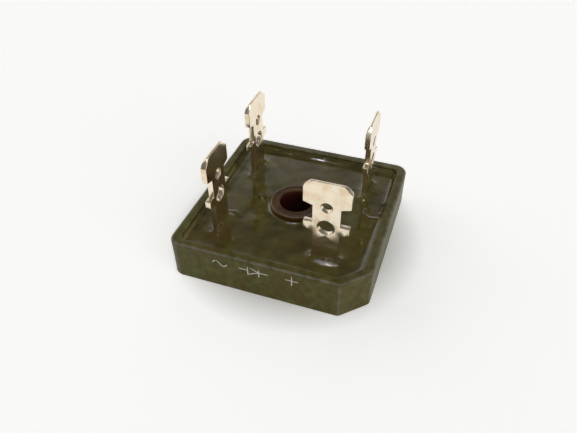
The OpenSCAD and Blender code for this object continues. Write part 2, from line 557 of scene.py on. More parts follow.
@dataclass(frozen=True)
class CastEpoxy(Finish):
    """Cast olive-black epoxy of the potting.

    Poured and cured in the frame: a smooth wet-looking skin that mirrors the terminals,
    lighter where its filler has risen, with faint swirls and a little dust in it.

    Attributes:
        deep: Resin with little filler under the skin.
        shallow: Resin with risen filler under the skin.
        brown: Browner resin, in wide faint patches.
        swirl: The swirls of the filler.
        wide: The browner patches.
        slow: Slow unevenness of the skin.
        dust: The dust, drawn coarser than real so that it shows.
        rough: Least and most roughness.
        slow_depth: Depth of the slow unevenness.
        dust_depth: Depth of the dust's relief.
        ior: Index of refraction.
    """

    deep: str = "4e4712"
    shallow: str = "6f662f"
    brown: str = "604a1c"
    swirl: Patches = Patches(size_mm=2.6, detail=4, start=0.35, end=0.68)
    wide: Patches = Patches(size_mm=6.0, detail=3, start=0.5, end=0.85)
    slow: Patches = Patches(size_mm=2.6, detail=1)
    dust: Patches = Patches(size_mm=0.12, detail=1)
    rough: tuple[float, float] = (0.03, 0.06)
    slow_depth: float = 0.008
    dust_depth: float = 0.0001
    ior: float = 1.55

    def build(self) -> bpy.types.Material:
        """Mixes slow swirls and wide brown patches under a glossy skin.

        Returns:
            The material.
        """
        tree, where = self.start()
        swirl = self.swirl.spread(tree, where)
        wide = self.wide.spread(tree, where)
        colour = lay_tones(tree, self.deep, ((swirl, self.shallow), (wide, self.brown)))
        slow = self.slow.spread(tree, where)
        dust = self.dust.spread(tree, where)
        normal = stack_relief(tree, ((slow, self.slow_depth), (dust, self.dust_depth)))
        return self.close(tree, {"IOR": self.ior}, colour, normal, swirl, self.rough)


@dataclass(frozen=True)
class BrightNickel(Finish):
    """Bright nickel plate over stamped copper alloy.

    Rolled strip, punched and barrel-plated: a warm, slightly soft mirror with faint
    rolling lines along the blade, tiny barrel dings and slightly duller patches.

    Attributes:
        plate: Clean nickel.
        tarnish: Nickel with a thin tarnish.
        patch: The duller patches.
        lines: The rolling lines, drawn wider than real so that they show.
        dings: The dings.
        stretch: How much longer a rolling line is than it is wide.
        rough: Least and most roughness.
        depths: Depths of the patches', the dings' and the lines' relief.
    """

    plate: str = "f4e7d0"
    tarnish: str = "dec6a2"
    patch: Patches = Patches(size_mm=1.4, detail=3, start=0.42, end=0.8)
    lines: Patches = Patches(size_mm=0.09, detail=1)
    dings: Patches = Patches(size_mm=0.35, detail=2)
    stretch: float = 25.0
    rough: tuple[float, float] = (0.19, 0.27)
    depths: tuple[float, float, float] = (0.004, 0.0006, 0.0002)

    def build(self) -> bpy.types.Material:
        """Sets a warm metal with stretched lines and dings in its relief.

        Returns:
            The material.
        """
        tree, where = self.start()
        patch = self.patch.spread(tree, where)
        colour = lay_tones(tree, self.plate, ((patch, self.tarnish),))
        narrow = {"Scale": (1, 1, 1 / self.stretch)}
        upright = add_node(tree, "ShaderNodeMapping", narrow, {"Vector": where}).outputs["Vector"]
        lines = self.lines.spread(tree, upright)
        dings = self.dings.spread(tree, where)
        normal = stack_relief(tree, tuple(zip((patch, dings, lines), self.depths)))
        return self.close(tree, {"Metallic": 1.0}, colour, normal, patch, self.rough)


@dataclass(frozen=True)
class LappedNickel(Finish):
    """Nickel-plated base, lapped flat.

    The underside was rubbed on an abrasive plate: a grey satin metal with fine crossing
    scratches and a few dull clouds.

    Attributes:
        plate: Freshly lapped nickel.
        cloudy: Nickel dulled by handling.
        cloud: The dull clouds.
        scratch: A set of scratches, drawn wider than real so that it shows.
        stretch: How much longer a scratch is than it is wide.
        turns: Directions of the two sets of scratches, in degrees.
        rough: Least and most roughness.
        scratch_depth: Depth of a scratch.
    """

    plate: str = "c9c7c1"
    cloudy: str = "a39e92"
    cloud: Patches = Patches(size_mm=3.5, detail=5, start=0.35, end=0.7)
    scratch: Patches = Patches(size_mm=0.12, detail=2)
    stretch: float = 35.0
    turns: tuple[float, float] = (20.0, -35.0)
    rough: tuple[float, float] = (0.3, 0.42)
    scratch_depth: float = 0.001

    def build(self) -> bpy.types.Material:
        """Crosses two sets of fine scratches over cloudy grey metal.

        Returns:
            The material.
        """
        tree, where = self.start()
        cloud = self.cloud.spread(tree, where)
        colour = lay_tones(tree, self.plate, ((cloud, self.cloudy),))
        layers = []
        for turn in self.turns:
            values = {"Rotation": (0, 0, math.radians(turn)), "Scale": (1 / self.stretch, 1, 1)}
            along = add_node(tree, "ShaderNodeMapping", values, {"Vector": where})
            scratches = self.scratch.spread(tree, along.outputs["Vector"])
            layers.append((scratches, self.scratch_depth))
        normal = stack_relief(tree, layers)
        return self.close(tree, {"Metallic": 1.0}, colour, normal, cloud, self.rough)


@dataclass(frozen=True)
class BrownThermoplastic(Finish):
    """Dark brown thermoplastic of the sleeve.

    Injection moulded in a plain cavity: a soft sheen on a dark brown that is redder
    than the frame round it, with painted shade deep red down the bore, and a pale outer edge that
    is partly worn and partly a painted highlight.

    Attributes:
        pigment: Darkest of the two browns.
        brown: Lightest of the two browns.
        bore: Painted shade of the bore, a dark red brown where little light comes back.
        rubbed_and_highlight: Pale tone of the outer edge, partly worn and partly a painted
            highlight.
        flow: The flow marks.
        fine: The skin's fine unevenness.
        rough: Least and most roughness.
        flow_depth: Depth of the flow marks.
        fine_depth: Depth of the fine unevenness.
        ior: Index of refraction.
        gloss: Strength of the mirror image, which the dull skin keeps low.
    """

    pigment: str = "44280c"
    brown: str = "67481c"
    # Painted shade of the bore
    bore: str = "421917"
    rubbed_and_highlight: str = "8c8260"
    flow: Patches = Patches(size_mm=1.6, detail=3, start=0.3, end=0.75)
    fine: Patches = Patches(size_mm=0.2, detail=1)
    rough: tuple[float, float] = (0.28, 0.38)
    flow_depth: float = 0.004
    fine_depth: float = 0.0006
    ior: float = 1.53
    gloss: float = 0.2

    def build(self) -> bpy.types.Material:
        """Mixes two browns in slow flow marks, darkened down the bore by painted shade and paled
        at the outer edge, partly worn and partly a painted highlight.

        Returns:
            The material.
        """
        tree, where = self.start()
        flow = self.flow.spread(tree, where)
        fine = self.fine.spread(tree, where)
        layers = [(flow, self.brown)]
        # Painted shade down the bore, and a pale outer edge that is partly worn and partly a
        # painted highlight
        for attribute, tone in (("bore_shade", self.bore), ("edge_wear_and_highlight", self.rubbed_and_highlight)):
            share = add_node(tree, "ShaderNodeAttribute", attribute_name=attribute).outputs["Fac"]
            layers.append((share, tone))
        colour = lay_tones(tree, self.pigment, layers)
        normal = stack_relief(tree, ((flow, self.flow_depth), (fine, self.fine_depth)))
        values = {"IOR": self.ior, "Specular IOR Level": self.gloss}
        return self.close(tree, values, colour, normal, fine, self.rough)


@dataclass(frozen=True)
class SpottedMatter(Finish):
    """One matter all through, with a slight change of tone in spots.

    Serves the fired alumina, the metallised silicon, the soft solder and the ink: each
    is given its two tones, the size of its spots, its roughness and whether it is metal.

    Attributes:
        first: One tone.
        second: The other tone.
        spot_mm: Size of the spots.
        roughness: Roughness of the surface.
        depth_mm: Depth of the spots' relief.
        metallic: One for metal and zero for the rest.
        spot_detail: Octaves of finer noise in the spots' edges.
    """

    first: str
    second: str
    spot_mm: float
    roughness: float
    depth_mm: float
    metallic: float = 0.0
    spot_detail: float = 3

    def build(self) -> bpy.types.Material:
        """Mixes two tones in spots, with relief of the same spots.

        Returns:
            The material.
        """
        tree, where = self.start()
        spots = Patches(self.spot_mm, self.spot_detail).spread(tree, where)
        colour = lay_tones(tree, self.first, ((spots, self.second),))
        normal = stack_relief(tree, ((spots, self.depth_mm),))
        values = {"Roughness": self.roughness, "Metallic": self.metallic}
        return self.close(tree, values, colour, normal)


# ---------------------------------------------------------------- moulded frame


@dataclass
class CaseFrame:
    """Moulded square frame: four walls with one cut corner, open at the middle.

    Attributes:
        finish: Material of the frame.
        side: Side of the square.
        height: Height of the rim above the underside.
        wall: Thickness of the wall.
        corner_r: Radius of the three square upright corners.
        corner_cut: Leg of the cut corner.
        cut_r: Radius of the two upright edges of the cut corner.
        cavity_r: Radius of the upright corners inside.
        ledge_z: Height of the ledge that rests on the base plate.
        lip: How far the base plate's edge reaches under the ledge.
        rim_round: Rounding of the outer top edge.
        inner_round: Rounding of the inner top edge.
        foot_round: Rounding of the outer bottom edge.
        sink: Depth of the shrink mark in the middle of the outer faces.
        sink_power: Power of the half sine up the mark, which makes its middle flat.
        sink_fade: Share of half a side at which the mark ends past the corners, and how
            steeply it fades towards there.
        ripple: Height of the faint waves in the skin.
        ripple_wave: Length of those waves, how much shorter they are upwards, and seed.
        dip: Depth of the faint waves in the rim.
        dip_most: Greatest depth of a wave in the rim.
        dip_wave: Length of those waves and their seed.
        dip_zone: Distance under the rim down to which the waves reach.
        foot_gap: Bevel of the ledge's lower edge.
        arc_steps: Steps along each upright rounding.
        long_steps: Steps along each long side.
        cut_steps: Steps along the cut side.
        face_rows: Rows of points up the outer face.
        edge_points: Points round the bottom and the inner top edge, and across the rim.
        rim_points: Points round the outer top edge.
        edge_paling_and_highlight: Pale tone on the outer top, bottom and inner top edges, partly
            worn and partly a painted highlight.
        upright_paling_and_highlight: Pale tone on the five upright edges, from the rear right
            one, partly worn and partly a painted highlight.
        rim_painted_sheen: Painted sheen on the top of the right and of the rear wall, laid in the
            pale edge tone.
    """

    finish: bpy.types.Material
    side: float
    height: float
    wall: float = 1.35
    corner_r: float = 1.9
    corner_cut: float = 3.5
    cut_r: float = 0.8
    cavity_r: float = 1.0
    ledge_z: float = 1.5
    lip: float = 0.5
    rim_round: float = 0.4
    inner_round: float = 0.16
    foot_round: float = 0.2
    sink: float = 0.035
    sink_power: float = 0.7
    sink_fade: tuple[float, float] = (1.25, 2.5)
    ripple: float = 0.006
    ripple_wave: tuple[float, float, int] = (2.6, 1.3, 4)
    dip: float = 0.008
    dip_most: float = 0.03
    dip_wave: tuple[float, int] = (4.5, 5)
    dip_zone: float = 0.2
    foot_gap: float = 0.02
    arc_steps: int = 12
    long_steps: int = 56
    cut_steps: int = 10
    face_rows: int = 20
    edge_points: int = 6
    rim_points: int = 9
    edge_paling_and_highlight: tuple[float, float, float] = (0.95, 0.5, 0.55)
    upright_paling_and_highlight: tuple[float, ...] = (0.1, 0.1, 0.12, 0.65, 0.3)
    rim_painted_sheen: tuple[float, float] = (0.15, 0.4)

    def outline(self, inset: float, square_r: float, cut_r: float) -> tuple[Array, Array]:
        """Rounded outline at an inset, always with the same number of points.

        Args:
            inset: Distance inwards from the outer faces.
            square_r: Radius of the three square corners.
            cut_r: Radius of the cut corner's two edges.

        Returns:
            Points and outward directions.
        """
        half = self.side / 2 - inset
        cut = self.side - self.corner_cut - math.sqrt(2) * inset - half
        square = [[half, half], [-half, half], [-half, -half]]
        corners = np.array(square + [[cut, -half], [half, -cut]])
        radii = np.array([square_r] * len(square) + [cut_r, cut_r])
        return rounded_outline(corners, radii, self.arc_steps, self.side_steps())

    def side_steps(self) -> list[int]:
        """Steps along each of the five sides, from the rear one."""
        return [self.long_steps] * 3 + [self.cut_steps, self.long_steps]

    def section(self) -> tuple[Array, Array]:
        """Closed section of the wall, as inset and height, with rounded edges.

        It runs round the bottom edge, up the outer face, over the rim, down the inner
        wall, under the ledge and back along the bottom. Rows close to the roundings keep
        them tight. The middle points of each rounded edge carry its pale tone, partly worn and
        partly a painted highlight.

        Returns:
            Inset and height of each point, and the pale tone of its edge, partly worn and partly
            a painted highlight.
        """
        top, inner, ledge = self.height, self.wall, self.wall - self.lip
        rim_r, lip_r, foot_r = self.rim_round, self.inner_round, self.foot_round
        foot = arc_points((foot_r, foot_r), foot_r, 270, 180, self.edge_points)
        rise = np.linspace(foot_r, top - rim_r, self.face_rows + 2)[1:-1]
        face = np.stack([np.zeros(self.face_rows), rise], axis=1)
        outer_rim = arc_points((rim_r, top - rim_r), rim_r, 180, 90, self.rim_points)
        across = np.linspace(rim_r, inner - lip_r, self.edge_points)[1:-1]
        flat = np.stack([across, np.full(len(across), top)], axis=1)
        inner_rim = arc_points((inner - lip_r, top - lip_r), lip_r, 90, 0, self.edge_points)
        inside = [[inner, top - 3 * lip_r], [inner, self.ledge_z], [ledge, self.ledge_z]]
        bottom = [[ledge, self.foot_gap], [ledge - self.foot_gap, 0.0]]
        parts = [foot, face, outer_rim, flat, inner_rim, np.array(inside + bottom)]
        # The rounded edges pale: partly worn, partly a painted highlight
        wear_and_highlight = [np.zeros(len(part)) for part in parts]
        rim_wear_and_highlight, foot_wear_and_highlight, inner_wear_and_highlight = wear_and_highlight[2], wear_and_highlight[0], wear_and_highlight[4]
        rim_wear_and_highlight[3:-1], foot_wear_and_highlight[1:-1], inner_wear_and_highlight[1:4] = self.edge_paling_and_highlight
        return np.concatenate(parts), np.concatenate(wear_and_highlight)

    def upright_wear_and_highlight(self) -> Array:
        """Pale tone of each point of the outline, partly worn and partly a painted highlight: a
        half sine over each upright rounding.
        """
        # Upright edges pale: partly worn, partly a painted highlight
        bump = np.sin(np.linspace(0, math.pi, self.arc_steps + 1))
        parts = []
        for pale_share_and_highlight, steps in zip(self.upright_paling_and_highlight, self.side_steps()):
            parts += [pale_share_and_highlight * bump, np.zeros(steps - 1)]
        return np.concatenate(parts)

    def rings(self, insets: Array) -> Array:
        """The outline at each inset, whose corner radii run from the outer to the inner.

        Args:
            insets: Inset of each point of the section.

        Returns:
            Place and outward direction of each point, one ring to a row.
        """
        share = np.clip((insets - self.rim_round) / (self.wall - self.rim_round), 0, 1)
        rings = []
        for inset, part in zip(insets, share):
            rounded_off = min(inset, self.rim_round)
            radii = [
                (1 - part) * (outer - rounded_off) + part * self.cavity_r
                for outer in (self.corner_r, self.cut_r)
            ]
            rings.append(np.concatenate(self.outline(inset, *radii), axis=1))
        return np.stack(rings)

    def hollow(self, place: Array, outward: Array, height: Array) -> Array:
        """Depth of the shrink mark, as if every point lay on an outer face.

        It is a half sine up the face to a power, and it fades towards the face's ends.
        Where an outward direction has over a half along X, the face's ends are along Y.

        Args:
            place: Place of each point in plan.
            outward: Outward direction of each point.
            height: Height of each point.

        Returns:
            Depth at each point.
        """
        faces_x = np.abs(outward[..., 0]) > 0.5
        along = np.where(faces_x, place[..., 1], place[..., 0])
        end, slope = self.sink_fade
        middle = np.clip(end - np.abs(along) / (self.side / 2), 0, 1)
        up = np.sin(math.pi * np.clip(height / self.height, 0, 1)) ** self.sink_power
        return self.sink * up * np.minimum(1, slope * middle)

    def build(self) -> bpy.types.Object:
        """Carries the wall's section round the outline.

        The outer faces sink a little between their edges and carry faint waves, and so
        does the rim.

        Returns:
            The piece that stands for the frame's solid.
        """
        line, edge_wear_and_highlight = self.section()
        inset, level = line[:, :1], line[:, 1:]
        grid = self.rings(line[:, 0])
        place, outward = grid[:, :, :2], grid[:, :, 2:]
        height = np.repeat(level, grid.shape[1], axis=1)
        outer = inset < self.rim_round
        hollow = np.where(inset < ON_LINE, self.hollow(place, outward, height), 0)
        length, shorter, seed = self.ripple_wave
        skin = waves(place[..., 0] + place[..., 1], height * shorter, length, seed)
        ripple = np.where(outer, self.ripple * (1 + skin), 0)
        place = place - outward * (hollow + ripple)[..., None]
        dip = self.dip * (1 + waves(place[..., 0], place[..., 1], *self.dip_wave))
        on_rim = level > self.height - self.dip_zone
        height = height - np.where(on_rim, np.clip(dip, 0, self.dip_most), 0)
        points = np.dstack([place, height]).reshape(-1, 3)
        faces = grid_quads(*grid.shape[:2], True, True)
        piece = make_piece("moulded_frame", points, faces, self.finish, "case_frame")
        # Pale edges, partly worn and partly a painted highlight
        wear_and_highlight = np.maximum(edge_wear_and_highlight[:, None], np.where(outer, self.upright_wear_and_highlight(), 0))
        # Painted sheen: the tops of the right and rear walls pale by the way they face, as if
        # mirroring the bright room behind
        painted_sheen = np.clip(outward, 0, 1) @ np.array(self.rim_painted_sheen)
        wear_and_highlight = np.maximum(wear_and_highlight, np.where(level >= self.height, painted_sheen, 0))
        store_share(piece, "edge_wear_and_highlight", wear_and_highlight)
        return piece


# ---------------------------------------------------------------- terminals


@dataclass
class Terminal:
    """One stamped push-on terminal: blade, neck, ears, stem, fold and foot.

    It is worked out as a flat blank, across u and along v, with v = 0 at the top of the
    fold, and then folded. Its own frame has the stem's middle at the origin, broad faces
    along +-x and the foot towards +x. Its solid's box gives its place and reach.

    Attributes:
        name: Name of the piece.
        node: Solid that it stands for.
        finish: Material of the terminal.
        facing: Side towards which the foot is folded.
        sheet: Thickness of the metal.
        fold_r: Inner radius of the fold.
        blade_w: Width of the blade.
        blade_h: Height of the blade, nose included.
        nose_w: Width of the nose's tip.
        nose_h: Height of the nose's slanted sides.
        tip_bevel: Depth of the tip's bevel on each broad face.
        tip_length: Height of that bevel.
        neck_w: Width of the neck, and of the stem below the ears.
        neck_h: Height of the neck.
        ear_w: Width over the ears.
        ear_h: Height of the ears.
        shoulder: Drop of the slanted shoulders under blade and ears.
        detent_r: Radius of the catch hole in the neck.
        detent_drop: Distance of the catch hole under the tip.
        wire_r: Radius of the wire hole between the ears.
        edge: Rounding of the punched edges.
        sharp_r: Radius of the blank's sharp corners.
        crisp_r: Radius of the corners of the ears, the blade's foot and the folded foot.
        soft_r: Radius of the corners under the ears.
        fold_rows: Rows of faces round the fold.
        arc_steps: Steps along each corner of the blank.
        hole_steps: Steps round each hole.
        place: Middle of the stem in the part's frame.
        foot_z: Height of the foot's underside.
        top: Height of the tip.
        reach: Length of the foot past the fold.
        side_reach: Distance from the stem's middle to the foot's far side.
    """

    name: str
    node: str
    finish: bpy.types.Material
    facing: Facing
    sheet: float = 0.8
    fold_r: float = 0.4
    blade_w: float = 6.35
    blade_h: float = 3.3
    nose_w: float = 4.4
    nose_h: float = 1.0
    tip_bevel: float = 0.25
    tip_length: float = 0.55
    neck_w: float = 3.76
    neck_h: float = 3.25
    ear_w: float = 6.24
    ear_h: float = 1.1
    shoulder: float = 0.4
    detent_r: float = 0.8
    detent_drop: float = 3.75
    wire_r: float = 1.2
    edge: float = 0.06
    sharp_r: float = 0.08
    crisp_r: float = 0.15
    soft_r: float = 0.3
    fold_rows: int = 8
    arc_steps: int = 5
    hole_steps: int = 48
    place: Array = field(init=False)
    foot_z: float = field(init=False)
    top: float = field(init=False)
    reach: float = field(init=False)
    side_reach: float = field(init=False)

    def __post_init__(self) -> None:
        """Reads from the solid's box where the stem stands and how far the foot reaches."""
        low, high = (np.array(corner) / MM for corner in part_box(self.node))
        along, across = self.facing.axes()
        start, end = sorted([low[:2] @ along, high[:2] @ along])
        near, far = sorted([low[:2] @ across, high[:2] @ across])
        stem, middle = start + self.sheet / 2, near + self.blade_w / 2
        self.place = stem * along + middle * across
        self.foot_z, self.top = float(low[2]), float(high[2])
        self.reach = end - stem - self.sheet / 2 - self.fold_r
        self.side_reach = far - middle

    @property
    def fold_top(self) -> float:
        """Height at which the stem's fold starts."""
        return self.foot_z + self.sheet + self.fold_r

    @property
    def fold_length(self) -> float:
        """Length of the fold along the sheet's middle."""
        return (self.fold_r + self.sheet / 2) * math.pi / 2

    def foot(self) -> list[tuple[float, float]]:
        """Corners of the foot as place across and distance past the fold, far side first."""
        near, far = self.neck_w / 2, self.side_reach
        return [(-near, self.reach), (far, self.reach), (far, 0.0), (near, 0.0)]

    def blank(self) -> tuple[Array, Array]:
        """Corners of the flat blank and the radius at each.

        Returns:
            Corners in anticlockwise order and their radii.
        """
        base = self.fold_top
        nose = self.top - self.nose_h - base
        blade = self.top - self.blade_h - base
        ear_top = blade - self.neck_h
        ear = ear_top - self.ear_h
        neck_u, blade_u, ear_u = self.neck_w / 2, self.blade_w / 2, self.ear_w / 2
        right = [
            (neck_u, ear - self.shoulder, self.soft_r),
            (ear_u, ear, self.crisp_r),
            (ear_u, ear_top, self.sharp_r),
            (neck_u, ear_top, self.sharp_r),
            (neck_u, blade - self.shoulder, self.sharp_r),
            (blade_u, blade, self.crisp_r),
            (blade_u, nose, self.sharp_r),
            (self.nose_w / 2, self.top - base, self.sharp_r),
        ]
        left = [(-u, v, radius) for u, v, radius in reversed(right)]
        foot = [(u, -self.fold_length - past, self.crisp_r) for u, past in self.foot()]
        rows = np.array(right + left + foot)
        return rows[:, :2], rows[:, 2]

    def rows_at(self) -> Array:
        """Heights on the blank at which the mesh needs a row across it."""
        fold = np.linspace(0, -self.fold_length, self.fold_rows + 1)
        bevel = self.top - self.fold_top - self.tip_length
        return np.concatenate([[bevel, bevel - self.edge / 2], fold])

    def with_rows(self, points: Array, normals: Array) -> tuple[Array, Array]:
        """Adds to an outline the points where the rows across the blank meet it.

        Args:
            points: Outline of the blank.
            normals: Its outward directions.

        Returns:
            The outline and directions with the new points in their places.
        """
        for level in self.rows_at():
            v, after = points[:, 1], np.roll(points[:, 1], -1)
            crosses = np.nonzero((v - level) * (after - level) < -(ON_LINE**2))[0][::-1]
            for k in crosses:
                share = (level - v[k]) / (after[k] - v[k])
                ahead = (k + 1) % len(points)
                new = points[k] + (points[ahead] - points[k]) * share
                points = np.insert(points, k + 1, new, axis=0)
                normals = np.insert(normals, k + 1, normals[k], axis=0)
        return points, normals

    def loops(self) -> list[tuple[Array, Array]]:
        """Outline of the blank and of its two holes, each with directions out of the metal.

        Returns:
            Points and directions of each loop.
        """
        corners, radii = self.blank()
        lengths = np.linalg.norm(np.roll(corners, -1, axis=0) - corners, axis=1)
        side_steps = np.maximum(1, np.ceil(lengths / self.sheet)).astype(int).tolist()
        rounded = rounded_outline(corners, radii, self.arc_steps, side_steps)
        outline = self.with_rows(*rounded)
        turn = -np.arange(self.hole_steps) * math.tau / self.hole_steps
        ring = np.stack([np.cos(turn), np.sin(turn)], axis=1)
        wire_v = self.top - self.blade_h - self.neck_h - self.ear_h / 2 - self.fold_top
        detent_v = self.top - self.detent_drop - self.fold_top
        wire = ring * self.wire_r + [0, wire_v]
        detent = ring * self.detent_r + [0, detent_v]
        return [outline, (wire, -ring), (detent, -ring)]

    def rim(self, steps: int = 4) -> tuple[Array, Array]:
        """Section of the punched edge: how far in and how far off the sheet's middle.

        Two quarter rounds join the broad faces to the punched side.

        Args:
            steps: Steps along each quarter round.

        Returns:
            Inset and distance from the middle, from one broad face to the other.
        """
        turn = np.linspace(0, math.pi / 2, steps + 1)
        inset = self.edge * (1 - np.sin(turn))
        off = self.sheet / 2 - self.edge * (1 - np.cos(turn))
        return np.concatenate([inset, inset[::-1]]), np.concatenate([off, -off[::-1]])

    def flat_face(self, loops: list[tuple[Array, Array]]) -> tuple[Array, list[list[int]]]:
        """Fills the broad face between the loops, with edges along the rows.

        Args:
            loops: Loops of the blank.

        Returns:
            Points of the face, the loops' own first and in order, and its triangles.
        """
        rings = [points - self.edge * normals for points, normals in loops]
        starts = np.cumsum([0] + [len(ring) for ring in rings]).tolist()
        edges = [
            (start + i, start + (i + 1) % len(ring))
            for start, ring in zip(starts, rings)
            for i in range(len(ring))
        ]
        outline = rings[0]
        for level in self.rows_at():
            on_row = np.nonzero(np.abs(outline[:, 1] - level) < ON_LINE)[0]
            ends = on_row[np.argsort(outline[on_row, 0])]
            edges += [(int(a), int(b)) for a, b in zip(ends[:-1:2], ends[1::2])]
        flat = np.concatenate(rings)
        found, _, triangles, *_ = delaunay_2d_cdt(
            [Vector(p) for p in flat.tolist()], edges, [], 0, SAME_PLACE
        )
        metal = self.metal(triangles, edges[: starts[-1]])
        return np.array(found), [triangles[number] for number in metal]

    def metal(self, triangles: list[list[int]], loop: list[tuple[int, int]]) -> list[int]:
        """Tells which triangles lie in the metal, which is on the left of each loop.

        It starts from the triangles that own a loop's edge in the loop's direction, and
        spreads over every edge that is no loop's.

        Args:
            triangles: Corner numbers of each triangle, anticlockwise.
            loop: Edges of the loops, in their direction.

        Returns:
            Numbers of the triangles in the metal.
        """
        owner = {
            (corners[k - 1], corners[k]): number
            for number, corners in enumerate(triangles)
            for k in range(3)
        }
        border = set(loop)
        found, ahead = set(), {owner[edge] for edge in loop}
        while ahead:
            found |= ahead
            sides = {(triangles[n][k - 1], triangles[n][k]) for n in ahead for k in range(3)}
            ahead = {owner[b, a] for a, b in sides - border} - found
        return sorted(found)

    def fold(self, u: Array, v: Array, off: Array) -> Array:
        """Folds points of the blank into the terminal's own frame.

        Above the fold, x is the distance off the middle and z rises with v. Through the
        fold, the sheet turns by v over the middle radius about the fold's centre. Past
        it, the sheet runs level towards +x.

        Args:
            u: Place across the blank.
            v: Place along the blank.
            off: Distance off the sheet's middle, towards -x where the stem stands.

        Returns:
            Points in the terminal's frame.
        """
        middle = self.fold_r + self.sheet / 2
        turn = np.clip(-v, 0, self.fold_length) / middle
        past = np.maximum(-v - self.fold_length, 0)
        radius = middle + off
        x = middle - radius * np.cos(turn) + past
        z = self.fold_top - radius * np.sin(turn) + np.maximum(v, 0)
        return np.stack([x, u, z], axis=1)

    def build(self) -> bpy.types.Object:
        """Joins both broad faces with rounded punched edges, folds the blank and places it.

        Towards the tip the half thickness shrinks evenly above the bevel's start.

        Returns:
            The piece that stands for the terminal's solid.
        """
        loops = self.loops()
        flat, triangles = self.flat_face(loops)
        inset, off = self.rim()
        count = sum(len(points) for points, _ in loops)
        edge = np.concatenate([points for points, _ in loops])
        outward = np.concatenate([normals for _, normals in loops])
        rows = [
            np.column_stack([edge - depth * outward, np.full(count, level)])
            for depth, level in zip(inset, off)
        ]
        extra = flat[count:]
        cover = [
            np.column_stack([extra, np.full(len(extra), level)]) for level in (off[0], off[-1])
        ]
        u, v, off_middle = np.concatenate(rows + cover).T
        bevel = self.top - self.fold_top - self.tip_length
        thinner = np.clip((v - bevel) / self.tip_length, 0, 1) * self.tip_bevel
        room = self.sheet / 2 - thinner
        solid = self.fold(u, v, np.clip(off_middle, -room, room))
        along, across = self.facing.axes()
        plan = self.place + solid[:, :1] * along + solid[:, 1:2] * across
        body = np.column_stack([plan, solid[:, 2]])
        faces = self.skin(loops, triangles, len(inset), count, len(extra))
        piece = make_piece(self.name, body, faces, self.finish, self.node)
        normals = piece.modifiers.new("broad_faces_stay_flat", "WEIGHTED_NORMAL")
        normals.keep_sharp = True
        return piece

    def skin(
        self,
        loops: list[tuple[Array, Array]],
        triangles: list[list[int]],
        levels: int,
        count: int,
        extra: int,
    ) -> list[Array]:
        """Numbers the faces of the whole skin.

        Args:
            loops: Loops of the blank.
            triangles: Triangles of one broad face.
            levels: Number of rows in the punched edge.
            count: Points in one such row.
            extra: Points of a broad face that lie on no loop.

        Returns:
            Side faces, then the triangles of each broad face.
        """
        sides, start = [], 0
        for points, _ in loops:
            length = len(points)
            quads = grid_quads(levels, length, False, True)
            level, spot = quads // length, quads % length
            sides.append(level * count + start + spot)
            start += length
        cover = np.array(triangles)
        first = np.where(cover < count, cover, cover - count + levels * count)
        last_row = (levels - 1) * count
        last = np.where(cover < count, cover + last_row, cover - count + levels * count + extra)
        return [*sides, first[:, ::-1], last]


@dataclass
class CrossoverTerminal(Terminal):
    """The terminal whose foot crosses the others' as a long strap along the rear.

    Attributes:
        strap_near: Distance from the part's middle to the strap's near side.
        strap_far: Distance from the part's middle to the strap's far side.
        strap_start: Distance past the fold at which the strap narrows.
    """

    strap_near: float = 4.4
    strap_far: float = 8.35
    strap_start: float = 1.2

    def foot(self) -> list[tuple[float, float]]:
        """Corners of the foot and strap, from the stem's far side round to its near side."""
        _, across = self.facing.axes()
        middle = float(self.place @ across)
        near, far = self.strap_near - middle, self.strap_far - middle
        neck, start, end = self.neck_w / 2, self.strap_start, self.reach
        return [(-neck, 0.0), (near, 0.0), (near, end), (far, end), (far, start), (neck, start)]


# ---------------------------------------------------------------- cast resin


@dataclass(frozen=True)
class Climb:
    """How the wet resin climbed a wall before it cured.

    Attributes:
        rise: Height of the climb at the wall.
        decay: Distance from the wall at which a third of it is left.
    """

    rise: float
    decay: float

    def at(self, gap: Array) -> Array:
        """Height at a distance from the wall: rise times exp(-gap / decay)."""
        return self.rise * np.exp(-np.maximum(gap, 0) / self.decay)


@dataclass(frozen=True)
class Ridge:
    """A soft ridge, or a groove where its height is negative, left by the pour.

    Attributes:
        path: Corners of its crest.
        rise: Height of its crest.
        width: Half width, at which a third of the height is left.
    """

    path: tuple[tuple[float, float], ...]
    rise: float
    width: float

    def at(self, x: Array, y: Array) -> Array:
        """Height at each point: a bell curve of the distance to the nearest segment.

        Args:
            x: First coordinate of each point.
            y: Second coordinate of each point.

        Returns:
            Height of each point.
        """
        nearest = np.full(x.shape, np.inf)
        for (ax, ay), (bx, by) in zip(self.path[:-1], self.path[1:]):
            dx, dy = bx - ax, by - ay
            share = np.clip(((x - ax) * dx + (y - ay) * dy) / (dx * dx + dy * dy), 0, 1)
            nearest = np.minimum(nearest, np.hypot(x - ax - share * dx, y - ay - share * dy))
        return self.rise * np.exp(-((nearest / self.width) ** 2))


